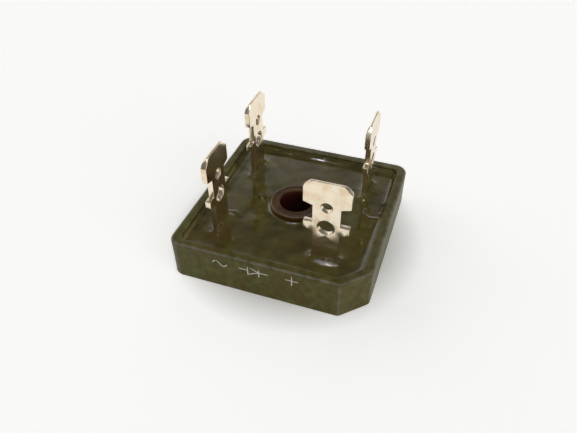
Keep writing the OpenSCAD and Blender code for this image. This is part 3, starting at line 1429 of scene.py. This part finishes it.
@dataclass
class ResinPool:
    """Cast resin that fills the frame up to a little below its rim.

    Attributes:
        finish: Material of the resin.
        frame: Frame that holds the resin.
        terminals: Terminals that stand in the resin.
        sleeve_r: Radius of the sleeve in the middle.
        foot_z: Height of the resin's underside.
        level: Height of the flat surface.
        sharpness: Sharpness, per millimetre, of the bends of the climb in the corners.
        at_wall: Climb up the frame's wall.
        at_stem: Climb up a stem.
        at_sleeve: Climb up the sleeve.
        bow_radius: Radius of the climbs' arcs before a stem's broad faces.
        stem_waves: Share by which the climbs up the stems rise and fall, the length of
            those waves and their seed.
        swell: Height, length and seed of each set of slow waves.
        calm_width: Distance from the wall over which the slow waves come up.
        ridges: Ridges and grooves of the pour.
    """

    finish: bpy.types.Material
    frame: CaseFrame
    terminals: Sequence[Terminal]
    sleeve_r: float
    foot_z: float
    level: float = 5.05
    sharpness: float = 4.0
    at_wall: Climb = Climb(rise=0.75, decay=0.26)
    at_stem: Climb = Climb(rise=0.55, decay=0.36)
    at_sleeve: Climb = Climb(rise=0.32, decay=0.3)
    bow_radius: float = 6.0
    stem_waves: tuple[float, float, int] = (0.14, 0.9, 11)
    swell: tuple[tuple[float, float, int], ...] = ((0.016, 6.5, 21), (0.004, 2.4, 22))
    calm_width: float = 0.8
    ridges: tuple[Ridge, ...] = (
        Ridge(((12.3, 1.3), (10.9, 1.1), (10.2, 1.7), (10.0, 2.8)), rise=0.08, width=0.2),
        Ridge(((12.6, 3.0), (12.6, 4.2)), rise=-0.12, width=0.4),
        Ridge(((-9.4, -4.3), (-8.2, -4.0), (-7.3, -4.8)), rise=0.06, width=0.25),
        Ridge(((-11.9, -9.5), (-11.9, 10.5)), rise=0.04, width=0.4),
    )

    def wall_distance(self, x: Array, y: Array) -> Array:
        """Distance to the nearest inner wall, smoothed in the corners.

        It is a soft minimum of the distances d to the five straight walls: minus the
        logarithm of the sum of exp(-k d), over k, where k is the sharpness.

        Args:
            x: First coordinate of each point.
            y: Second coordinate of each point.

        Returns:
            Distance of each point.
        """
        half = self.frame.side / 2 - self.frame.wall
        cut = (self.frame.side - self.frame.corner_cut) / math.sqrt(2) - self.frame.wall
        gaps = [half - x, half + x, half - y, half + y, cut - (x - y) / math.sqrt(2)]
        return -np.log(sum(np.exp(-self.sharpness * gap) for gap in gaps)) / self.sharpness

    def stem_gap(self, terminal: Terminal, x: Array, y: Array) -> Array:
        """Distance to a stem's outline, bowed outwards before its broad faces.

        Past a broad face the distance grows with the square of the offset from the
        stem's middle, so that the lines of equal height are arcs of the bow's radius.

        Args:
            terminal: Terminal whose stem is meant.
            x: First coordinate of each point.
            y: Second coordinate of each point.

        Returns:
            Distance of each point.
        """
        along, across = terminal.facing.axes()
        off_x = x - terminal.place[0]
        off_y = y - terminal.place[1]
        offset = np.abs(across[0] * off_x + across[1] * off_y)
        depth = np.abs(along[0] * off_x + along[1] * off_y)
        past_end = np.maximum(offset - terminal.neck_w / 2, 0)
        past_face = np.maximum(depth - terminal.sheet / 2, 0)
        share = past_face / np.maximum(past_end + past_face, ON_LINE)
        bow = np.minimum(offset, terminal.neck_w / 2) ** 2 / (2 * self.bow_radius)
        return np.hypot(past_end, past_face) + share * bow

    def height(self, x: Array, y: Array) -> Array:
        """Height of the cured surface.

        It is the level, plus the climbs up the walls, the sleeve and the stems, plus
        slow waves and the ridges of the pour.

        Args:
            x: First coordinate of each point.
            y: Second coordinate of each point.

        Returns:
            Height of each point.
        """
        to_wall = self.wall_distance(x, y)
        z = self.level + self.at_wall.at(to_wall)
        z += self.at_sleeve.at(np.hypot(x, y) - self.sleeve_r)
        for number, terminal in enumerate(self.terminals):
            share, length, seed = self.stem_waves
            uneven = 1 + share * waves(x, y, length, seed + number)
            z += uneven * self.at_stem.at(self.stem_gap(terminal, x, y))
        calm = np.clip(to_wall / self.calm_width, 0, 1)
        z += calm * sum(rise * waves(x, y, length, seed) for rise, length, seed in self.swell)
        return z + sum(ridge.at(x, y) for ridge in self.ridges)

    def build(self, rays: int = 900, rings: int = 96) -> bpy.types.Object:
        """Builds the pool as one closed skin.

        The top is a grid of rays from the sleeve to the inner wall, each cut into even
        rings, and it is lifted to the surface's height. Walls and a flat underside
        close it.

        Args:
            rays: Number of rays round the sleeve.
            rings: Number of steps along each ray.

        Returns:
            The piece that stands for the potting's solid.
        """
        frame = self.frame
        outline, _ = frame.outline(frame.wall, frame.cavity_r, frame.cavity_r)
        angle = np.arctan2(outline[:, 1], outline[:, 0])
        turn = np.linspace(-math.pi, math.pi, rays, endpoint=False)
        far = np.interp(turn, angle, np.hypot(*outline.T), period=math.tau)
        share = np.linspace(0, 1, rings)[:, None]
        radius = self.sleeve_r + (far - self.sleeve_r) * share
        x, y = radius * np.cos(turn), radius * np.sin(turn)
        top = np.dstack([x, y, self.height(x, y)])
        low = np.dstack([x, y, np.full(x.shape, self.foot_z)])[[-1, 0]]
        grid = np.concatenate([top, low])
        faces = grid_quads(len(grid), rays, True, True)[:, ::-1]
        points = grid.reshape(-1, 3)
        return make_piece("cast_resin", points, faces, self.finish, "potting")


# ---------------------------------------------------------------- sleeve


@dataclass
class Sleeve:
    """Round moulded sleeve that lines the screw hole.

    Attributes:
        finish: Material of the sleeve.
        height: Height of its top above the underside.
        sleeve_r: Outer radius above the plate.
        step_z: Height of the step onto the plate.
        bore_r: Radius of the bore.
        spigot_r: Outer radius inside the plate.
        edge_r: Rounding of the outer top edge.
        mouth_r: Rounding of the bore's mouth.
        dish: Depth of the shrink mark in the top.
        shade_depth: Depth under the top at which the bore's painted shade is whole.
        edge_paling_and_highlight: Pale tone on the outer top edge, partly worn and partly a
            painted highlight.
        bore_rows: Rows of points down the bore.
        mouth_rows: Rows round the bore's mouth.
        land_rows: Rows across the top.
        edge_rows: Rows round the outer top edge.
        side_rows: Rows down the outside.
    """

    finish: bpy.types.Material
    height: float
    sleeve_r: float
    step_z: float
    bore_r: float = 2.5
    spigot_r: float = 3.3
    edge_r: float = 0.25
    mouth_r: float = 0.12
    dish: float = 0.03
    shade_depth: float = 0.8
    edge_paling_and_highlight: float = 0.6
    bore_rows: int = 12
    mouth_rows: int = 6
    land_rows: int = 7
    edge_rows: int = 9
    side_rows: int = 5

    def profile(self) -> tuple[Array, Array, Array]:
        """Half section as radius and height, up the bore and down the outside.

        Rows close to the roundings keep them tight.

        Returns:
            The section's points, their share of the bore's painted shade and the pale tone of
            their edge, partly worn and partly a painted highlight.
        """
        top, mouth_r, edge_r = self.height, self.mouth_r, self.edge_r
        bore_z = np.linspace(0, top - 2 * mouth_r, self.bore_rows)
        bore = np.stack([np.full(len(bore_z), self.bore_r), bore_z], axis=1)
        middle = (self.bore_r + mouth_r, top - mouth_r)
        mouth = arc_points(middle, mouth_r, 180, 90, self.mouth_rows)
        across = np.linspace(0, 1, self.land_rows + 2)[1:-1]
        land = self.bore_r + mouth_r + across * (self.sleeve_r - edge_r - self.bore_r - mouth_r)
        flat = np.stack([land, top - self.dish * np.sin(math.pi * across)], axis=1)
        middle = (self.sleeve_r - edge_r, top - edge_r)
        edge = arc_points(middle, edge_r, 90, 0, self.edge_rows)
        side_z = np.linspace(top - 2 * edge_r, self.step_z, self.side_rows)
        side = np.stack([np.full(len(side_z), self.sleeve_r), side_z], axis=1)
        step = np.array([[self.spigot_r, self.step_z], [self.spigot_r, 0.0]])
        parts = [bore, mouth, flat, edge, side, step]
        wear_and_highlight = [np.zeros(len(part)) for part in parts]
        # The outer top edge pales: partly worn, partly a painted highlight
        wear_and_highlight[3][1:5] = self.edge_paling_and_highlight
        line = np.concatenate(parts)
        # Painted shade that deepens down the bore
        depth = np.clip((top - line[:, 1]) / self.shade_depth, 0, 1)
        shade = np.where(line[:, 0] < self.bore_r + mouth_r / 2, depth, 0)
        return line, shade, np.concatenate(wear_and_highlight)

    def build(self, steps: int = 128) -> bpy.types.Object:
        """Turns the half section round the hole's axis.

        A point at angle a has x = r cos a and y = r sin a.

        Args:
            steps: Number of steps round the axis.

        Returns:
            The piece that stands for the sleeve's solid.
        """
        line, shade, wear_and_highlight = self.profile()
        turn = np.arange(steps) * math.tau / steps
        x, y = np.outer(line[:, 0], np.cos(turn)), np.outer(line[:, 0], np.sin(turn))
        points = np.dstack([x, y, np.repeat(line[:, 1:], steps, axis=1)]).reshape(-1, 3)
        faces = grid_quads(len(line), steps, True, True)[:, ::-1]
        node = "mounting_sleeve"
        piece = make_piece("screw_sleeve", points, faces, self.finish, node)
        for name, share in (("bore_shade", shade), ("edge_wear_and_highlight", wear_and_highlight)):
            store_share(piece, name, np.repeat(share, steps))
        return piece


# ---------------------------------------------------------------- marking


@dataclass
class Marking:
    """Plain polarity signs printed in pale ink on the front face.

    Attributes:
        finish: Material of the ink.
        face_y: Place of the front face.
        width: Width of a stroke.
        depth: Thickness of the ink.
        tip_degrees: Angle of the last row before a stroke's very tip.
        cap_rows: Rows of points round each stroke's end.
        sides: Sides of a stroke's section.
    """

    finish: bpy.types.Material
    face_y: float
    width: float = 0.17
    depth: float = 0.012
    tip_degrees: float = 2.0
    cap_rows: int = 7
    sides: int = 12

    def stroke(self, path: Array) -> tuple[Array, list[Array]]:
        """Carries a flat round-ended section along a path on the front face.

        Across the path the section is an ellipse as wide as the stroke and as thick as
        the ink, and it shrinks to a point over a half circle at each end.

        Args:
            path: Points of the stroke as x and height.

        Returns:
            Points and faces.
        """
        rows, sides, half = self.cap_rows, self.sides, self.width / 2
        run = np.gradient(path, axis=0)
        run /= np.linalg.norm(run, axis=1)[:, None]
        cap = np.radians(np.linspace(self.tip_degrees, 90, rows))
        head = path[0] - run[0] * half * np.cos(cap)[:, None]
        tail = path[-1] + run[-1] * half * np.cos(cap[::-1])[:, None]
        line = np.concatenate([head, path[1:-1], tail])
        ends = [np.repeat(run[k : k + 1], rows, axis=0) for k in (0, len(run) - 1)]
        heading = np.concatenate([ends[0], run[1:-1], ends[1]])
        size = np.concatenate([np.sin(cap), np.ones(len(path) - 2), np.sin(cap[::-1])])[:, None]
        across = np.stack([-heading[:, 1], heading[:, 0]], axis=1)
        turn = np.arange(sides) * math.tau / sides
        side = half * size * np.cos(turn)
        out = self.depth * size * np.sin(turn)
        x = line[:, :1] + across[:, :1] * side
        z = line[:, 1:] + across[:, 1:] * side
        points = np.dstack([x, self.face_y - out, z]).reshape(-1, 3)
        body = grid_quads(len(line), sides, False, True)
        last = (len(line) - 1) * sides
        lids = np.array([np.arange(sides)[::-1], last + np.arange(sides)])
        return points, [body, lids]

    def build(self, name: str, paths: Sequence[Array]) -> bpy.types.Object:
        """Joins the strokes of one sign into a piece.

        Args:
            name: Name of the piece.
            paths: Points of each stroke.

        Returns:
            The piece.
        """
        points, faces, start = [], [], 0
        for path in paths:
            some, groups = self.stroke(path)
            points.append(some)
            faces += [group + start for group in groups]
            start += len(some)
        return make_piece(name, np.concatenate(points), faces, self.finish)


def straight(start: tuple[float, float], end: tuple[float, float], steps: int = 6) -> Array:
    """Points of a straight stroke: the start plus shares of the way to the end."""
    share = np.linspace(0, 1, steps)[:, None]
    return np.array(start) + (np.array(end) - np.array(start)) * share


@dataclass
class Signs:
    """Signs for alternating current, a diode and the positive pole.

    The places are across the face and up it.

    Attributes:
        marking: Ink, face and stroke of the print.
        wave_start: Left end of the wave.
        wave_length: Length of the wave.
        wave_swing: Height of the wave over its middle line.
        diode: Middle of the diode's triangle.
        diode_half: Half the triangle's length and half its height.
        lead: Length of each of the diode's leads.
        plus: Middle of the plus.
        arm: Length of the plus's arms.
    """

    marking: Marking
    wave_start: tuple[float, float] = (-7.3, 4.55)
    wave_length: float = 2.1
    wave_swing: float = 0.42
    diode: tuple[float, float] = (-1.3, 4.62)
    diode_half: tuple[float, float] = (0.8, 0.78)
    lead: float = 1.2
    plus: tuple[float, float] = (4.2, 4.7)
    arm: float = 0.85

    def build(self, wave_points: int = 25) -> None:
        """Prints the three signs.

        The wave is one full sine. The diode is a triangle against a bar on a lead.

        Args:
            wave_points: Number of points along the wave.
        """
        share = np.linspace(0, 1, wave_points)
        x, z = self.wave_start
        rise = self.wave_swing * np.sin(math.tau * share)
        wave = np.stack([x + self.wave_length * share, z + rise], axis=1)
        self.marking.build("sign_alternating", [wave])
        x, z = self.diode
        half_w, half_h = self.diode_half
        left, right = x - half_w, x + half_w
        diode = [
            straight((left - self.lead, z), (left, z)),
            straight((left, z - half_h), (left, z + half_h)),
            straight((left, z + half_h), (right, z)),
            straight((right, z), (left, z - half_h)),
            straight((right, z - half_h), (right, z + half_h)),
            straight((right, z), (right + self.lead, z)),
        ]
        self.marking.build("sign_diode", diode)
        x, z = self.plus
        level = straight((x - self.arm, z), (x + self.arm, z))
        upright = straight((x, z - self.arm), (x, z + self.arm))
        self.marking.build("sign_plus", [level, upright])


# ---------------------------------------------------------------- studio


@dataclass
class Studio:
    """Plain pale floor, soft light and the camera.

    Attributes:
        azimuth: Camera's turn from the front towards +X, in degrees.
        elevation: Camera's height angle, in degrees.
        distance: Distance from the camera to its target.
        target: Point that the camera looks at.
        roll: Camera's turn about its own axis, in degrees.
        focal: Focal length, in image widths.
        nearest: Distance from the camera at which things start to show.
        floor_side: Side of the floor.
        paper: Colour of the floor.
        glow: Light that the floor adds where camera or gloss sees it.
        covered: Distances from the middle at which that light starts and is whole, so
            that none comes from under the part.
        dim: Strength of the room above the horizon.
        front_band: Strength of the low white band in front, and the heights, as sines,
            between which it fades.
        rear_band: The same for the band behind on the left, which reaches higher.
        rear: Direction of the rear band's middle, and the cosines to it between which
            one band turns into the other.
        panels: Direction of each soft round panel, and the strength that it adds.
        panel_edge: Cosines to a panel's direction between which it fades in.
        sparks: Turns of the small bright lamps from the front towards +X, in degrees.
        spark_height: Height angle of the small lamps, in degrees.
        spark_distance: Distance of the small lamps from the part.
        spark_size: Diameter of a small lamp.
        spark_power: Power of a small lamp, in watts.
        spark_colour: Colour of the small lamps.
        spark_aim: Point that the small lamps look at.
    """

    azimuth: float = 19.81
    elevation: float = 41.13
    distance: float = 83.99
    target: tuple[float, float, float] = (-0.781, -1.375, 4.0)
    roll: float = -0.54
    focal: float = 0.9583
    nearest: float = 1.0
    floor_side: float = 3000.0
    paper: str = "f3f2ee"
    glow: float = 0.56
    covered: tuple[float, float] = (11.0, 20.0)
    dim: float = 0.15
    front_band: tuple[float, ...] = (0.5, 0.02, 0.2)
    rear_band: tuple[float, ...] = (1.05, 0.48, 0.7)
    rear: tuple[tuple[float, ...], float, float] = ((-0.6, 0.8, 0.0), 0.52, 0.75)
    panels: tuple[tuple[tuple[float, ...], float], ...] = (
        ((-0.93, 0.05, 0.36), 1.0),
        ((0.77, -0.44, 0.46), 1.4),
    )
    panel_edge: tuple[float, float] = (0.84, 0.94)
    sparks: tuple[float, ...] = (-36.0, -14.5, 8.0, 30.5)
    spark_height: float = 68.0
    spark_distance: float = 240.0
    spark_size: float = 8.0
    spark_power: float = 0.05
    spark_colour: str = "f2f4ff"
    spark_aim: tuple[float, float, float] = (0.0, 0.0, 8.0)

    def build(self) -> None:
        """Builds the floor, the world, the lamps and the camera."""
        self.floor()
        self.world()
        self.lamps()
        self.camera()

    def shown(self, tree: bpy.types.NodeTree) -> bpy.types.NodeSocket:
        """One for rays that show the background: camera, glossy and transmission rays.

        Args:
            tree: Tree that the nodes go into.

        Returns:
            The share, 0 or 1.
        """
        path = add_node(tree, "ShaderNodeLightPath").outputs
        share = path["Is Camera Ray"]
        for kind in ("Is Glossy Ray", "Is Transmission Ray"):
            links = {0: share, 1: path[kind]}
            share = add_node(tree, "ShaderNodeMath", links=links, operation="MAXIMUM").outputs[0]
        return share

    def floor(self) -> None:
        """Lays a level plane whose pale finish is white where the camera or gloss sees it."""
        material = bpy.data.materials.new("pale_paper_sweep")
        tree = empty_tree(material)
        paper = add_node(tree, "ShaderNodeBsdfDiffuse", {"Color": linear(self.paper)})
        where = add_node(tree, "ShaderNodeTexCoord").outputs["Object"]
        length = add_node(tree, "ShaderNodeVectorMath", links={0: where}, operation="LENGTH")
        away = length.outputs["Value"]
        start, whole = (distance * MM for distance in self.covered)
        limits = {"From Min": start, "From Max": whole, "To Max": self.glow}
        bare = add_node(tree, "ShaderNodeMapRange", limits, {"Value": away}).outputs[0]
        links = {0: self.shown(tree), 1: bare}
        glow = add_node(tree, "ShaderNodeMath", links=links, operation="MULTIPLY").outputs[0]
        light = add_node(tree, "ShaderNodeEmission", links={"Strength": glow}).outputs[0]
        both = add_node(tree, "ShaderNodeAddShader", links={0: paper.outputs[0], 1: light})
        add_node(tree, "ShaderNodeOutputMaterial", links={"Surface": both.outputs[0]})
        half = self.floor_side / 2 * MM
        mesh = bpy.data.meshes.new("floor")
        corners = [(-half, -half, 0), (half, -half, 0), (half, half, 0), (-half, half, 0)]
        mesh.from_pydata(corners, [], [(0, 1, 2, 3)])
        mesh.materials.append(material)
        add_object("floor", mesh)

    def lean(
        self,
        tree: bpy.types.NodeTree,
        toward: bpy.types.NodeSocket,
        direction: Sequence[float],
        cosines: tuple[float, float],
        most: float = 1.0,
    ) -> bpy.types.NodeSocket:
        """Adds a strength that grows as a ray leans towards a direction.

        Args:
            tree: Tree that the nodes go into.
            toward: Direction of the ray.
            direction: Direction at which the strength is greatest.
            cosines: Cosines between the two at which it starts and is whole.
            most: Greatest strength.

        Returns:
            The strength.
        """
        links = {0: toward}
        values = {1: direction}
        dot = add_node(tree, "ShaderNodeVectorMath", values, links, operation="DOT_PRODUCT")
        start, whole = cosines
        limits = {"From Min": start, "From Max": whole, "To Max": most}
        links = {"Value": dot.outputs["Value"]}
        return add_node(tree, "ShaderNodeMapRange", limits, links).outputs[0]

    def world(self) -> None:
        """Surrounds the scene with the soft light of a plain room.

        The camera sees plain white. The part sees white low down, which reaches higher
        behind it than in front, a dim room above that, and two soft panels low on the
        left and the right.
        """
        world = bpy.data.worlds.new("studio")
        bpy.context.scene.world = world
        tree = empty_tree(world)
        toward = add_node(tree, "ShaderNodeTexCoord").outputs["Generated"]
        axes = add_node(tree, "ShaderNodeSeparateXYZ", links={"Vector": toward}).outputs
        bands = []
        for strength, start, end in (self.front_band, self.rear_band):
            limits = {"From Min": start, "From Max": end, "To Min": strength, "To Max": self.dim}
            band = add_node(tree, "ShaderNodeMapRange", limits, {"Value": axes["Z"]})
            bands.append(band.outputs[0])
        direction, start, end = self.rear
        share = self.lean(tree, toward, direction, (start, end))
        links = {0: share, MIX_A: bands[0], MIX_B: bands[1]}
        room = add_node(tree, "ShaderNodeMix", links=links).outputs[MIX_NUMBER]
        for direction, strength in self.panels:
            panel = self.lean(tree, toward, direction, self.panel_edge, strength)
            links = {0: room, 1: panel}
            room = add_node(tree, "ShaderNodeMath", links=links, operation="ADD").outputs[0]
        seen = add_node(tree, "ShaderNodeLightPath").outputs["Is Camera Ray"]
        links = {0: seen, MIX_A: room}
        strength = add_node(tree, "ShaderNodeMix", {MIX_B: 1.0}, links).outputs[MIX_NUMBER]
        white = {"Color": linear("ffffff")}
        sky = add_node(tree, "ShaderNodeBackground", white, {"Strength": strength})
        add_node(tree, "ShaderNodeOutputWorld", links={"Surface": sky.outputs[0]})

    def lamps(self) -> None:
        """Hangs a row of small bright lamps over the front.

        Each is a round lamp that looks at the part and lights only what is glossy.
        """
        aim = Vector(self.spark_aim) * MM
        height = math.radians(self.spark_height)
        for number, degrees in enumerate(self.sparks):
            turn = math.radians(degrees)
            level = self.spark_distance * math.cos(height)
            rise = self.spark_distance * math.sin(height)
            data = bpy.data.lights.new(f"spark_{number}", "AREA")
            data.shape = "DISK"
            data.size = self.spark_size * MM
            data.energy = self.spark_power
            data.color = linear(self.spark_colour)[:3]
            lamp = add_object(f"spark_{number}", data)
            lamp.location = Vector((level * math.sin(turn), -level * math.cos(turn), rise)) * MM
            lamp.rotation_euler = (aim - lamp.location).to_track_quat("-Z", "Y").to_euler()
            lamp.visible_diffuse = False

    def camera(self) -> None:
        """Places the camera from its angles, distance, target and roll."""
        angles = (self.azimuth, self.elevation, self.roll)
        turn, lift, roll = (math.radians(angle) for angle in angles)
        level = math.cos(lift)
        back = np.array([math.sin(turn) * level, -math.cos(turn) * level, math.sin(lift)])
        right = np.cross(-back, [0, 0, 1])
        right /= np.linalg.norm(right)
        up = np.cross(right, -back)
        side = right * math.cos(roll) + up * math.sin(roll)
        head = up * math.cos(roll) - right * math.sin(roll)
        data = bpy.data.cameras.new("camera")
        data.sensor_fit = "HORIZONTAL"
        data.lens = data.sensor_width * self.focal
        data.clip_start = self.nearest * MM
        camera = add_object("camera", data)
        place = (np.array(self.target) + back * self.distance) * MM
        axes = Matrix(np.column_stack([side, head, back]).tolist()).to_4x4()
        camera.matrix_world = Matrix.Translation(place.tolist()) @ axes
        bpy.context.scene.camera = camera


# ---------------------------------------------------------------- assembly


def dress_nodes(nodes: dict[str, bpy.types.Object]) -> None:
    """Gives each solid that stays in view its finish.

    Args:
        nodes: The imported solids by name.
    """
    base = LappedNickel("lapped_nickel_plate").build()
    # Chalky white ceramic with faint creamy spots
    alumina = SpottedMatter(
        "fired_alumina", "ece7dc", "ddd6c8", spot_mm=0.25, roughness=0.6, depth_mm=0.002
    ).build()
    # Dark grey metal film, half a mirror, with slightly darker spots
    silicon = SpottedMatter(
        "metallised_silicon",
        "5a5e66",
        "4a4d55",
        spot_mm=0.6,
        roughness=0.3,
        depth_mm=0.0005,
        metallic=1.0,
    ).build()
    # Soft pale grey metal, a little darker in spots where its skin has oxidised
    solder = SpottedMatter(
        "soft_solder",
        "b4b4b2",
        "8e8f90",
        spot_mm=0.3,
        roughness=0.38,
        depth_mm=0.003,
        metallic=1.0,
    ).build()
    kinds = {"base_plate": base, "insulator_plate": alumina}
    kinds |= {name: silicon for name in nodes if name.startswith("chip_")}
    kinds |= {name: solder for name in nodes if name.startswith("solder_")}
    for name, finish in kinds.items():
        slots = nodes[name].data.materials
        for number in range(len(slots)):
            slots[number] = finish
        LOG.info("%s: %s", name, finish.name)


def build_terminals() -> list[Terminal]:
    """Builds the four terminals over their solids.

    Returns:
        The terminals.
    """
    nickel = BrightNickel("bright_nickel_plate").build()
    _, foot_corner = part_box("terminal_ac_left")
    straps = {"strap_near": -foot_corner.x / MM, "strap_far": foot_corner.y / MM}
    terminals = [
        Terminal("stamped_terminal_ac_left", "terminal_ac_left", nickel, Facing.RIGHT),
        Terminal("stamped_terminal_ac_right", "terminal_ac_right", nickel, Facing.LEFT),
        Terminal("stamped_terminal_plus", "terminal_plus", nickel, Facing.REAR),
        CrossoverTerminal(
            "stamped_terminal_minus", "terminal_minus", nickel, Facing.RIGHT, **straps
        ),
    ]
    for terminal in terminals:
        terminal.build()
    return terminals


def main() -> None:
    """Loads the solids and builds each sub-assembly in order."""
    logging.basicConfig(level=logging.INFO, format="%(name)s: %(message)s")
    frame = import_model()
    low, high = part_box("case_frame")
    _, plate_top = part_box("base_plate")
    _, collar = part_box("mounting_sleeve")
    plate_z, sleeve_r = plate_top.z / MM, collar.x / MM

    plastic = MouldedThermoset("moulded_thermoset").build()
    case = CaseFrame(plastic, (high.x - low.x) / MM, high.z / MM, ledge_z=plate_z)
    case.build()
    terminals = build_terminals()
    epoxy = CastEpoxy("cast_epoxy").build()
    ResinPool(epoxy, case, terminals, sleeve_r, plate_z).build()
    brown = BrownThermoplastic("brown_thermoplastic").build()
    Sleeve(brown, collar.z / MM, sleeve_r, plate_z).build()
    # Matt cream-white print, a little darker in spots where it lies thin
    ink = SpottedMatter(
        "marking_ink", "f4f2ea", "dcd9cc", spot_mm=0.12, roughness=0.6, depth_mm=0.002
    ).build()
    Signs(Marking(ink, low.y / MM + case.sink)).build()
    dress_nodes(frame["nodes"])
    Studio().build()
    bpy.context.scene.view_settings.view_transform = "Standard"


if __name__ == "__main__":
    main()
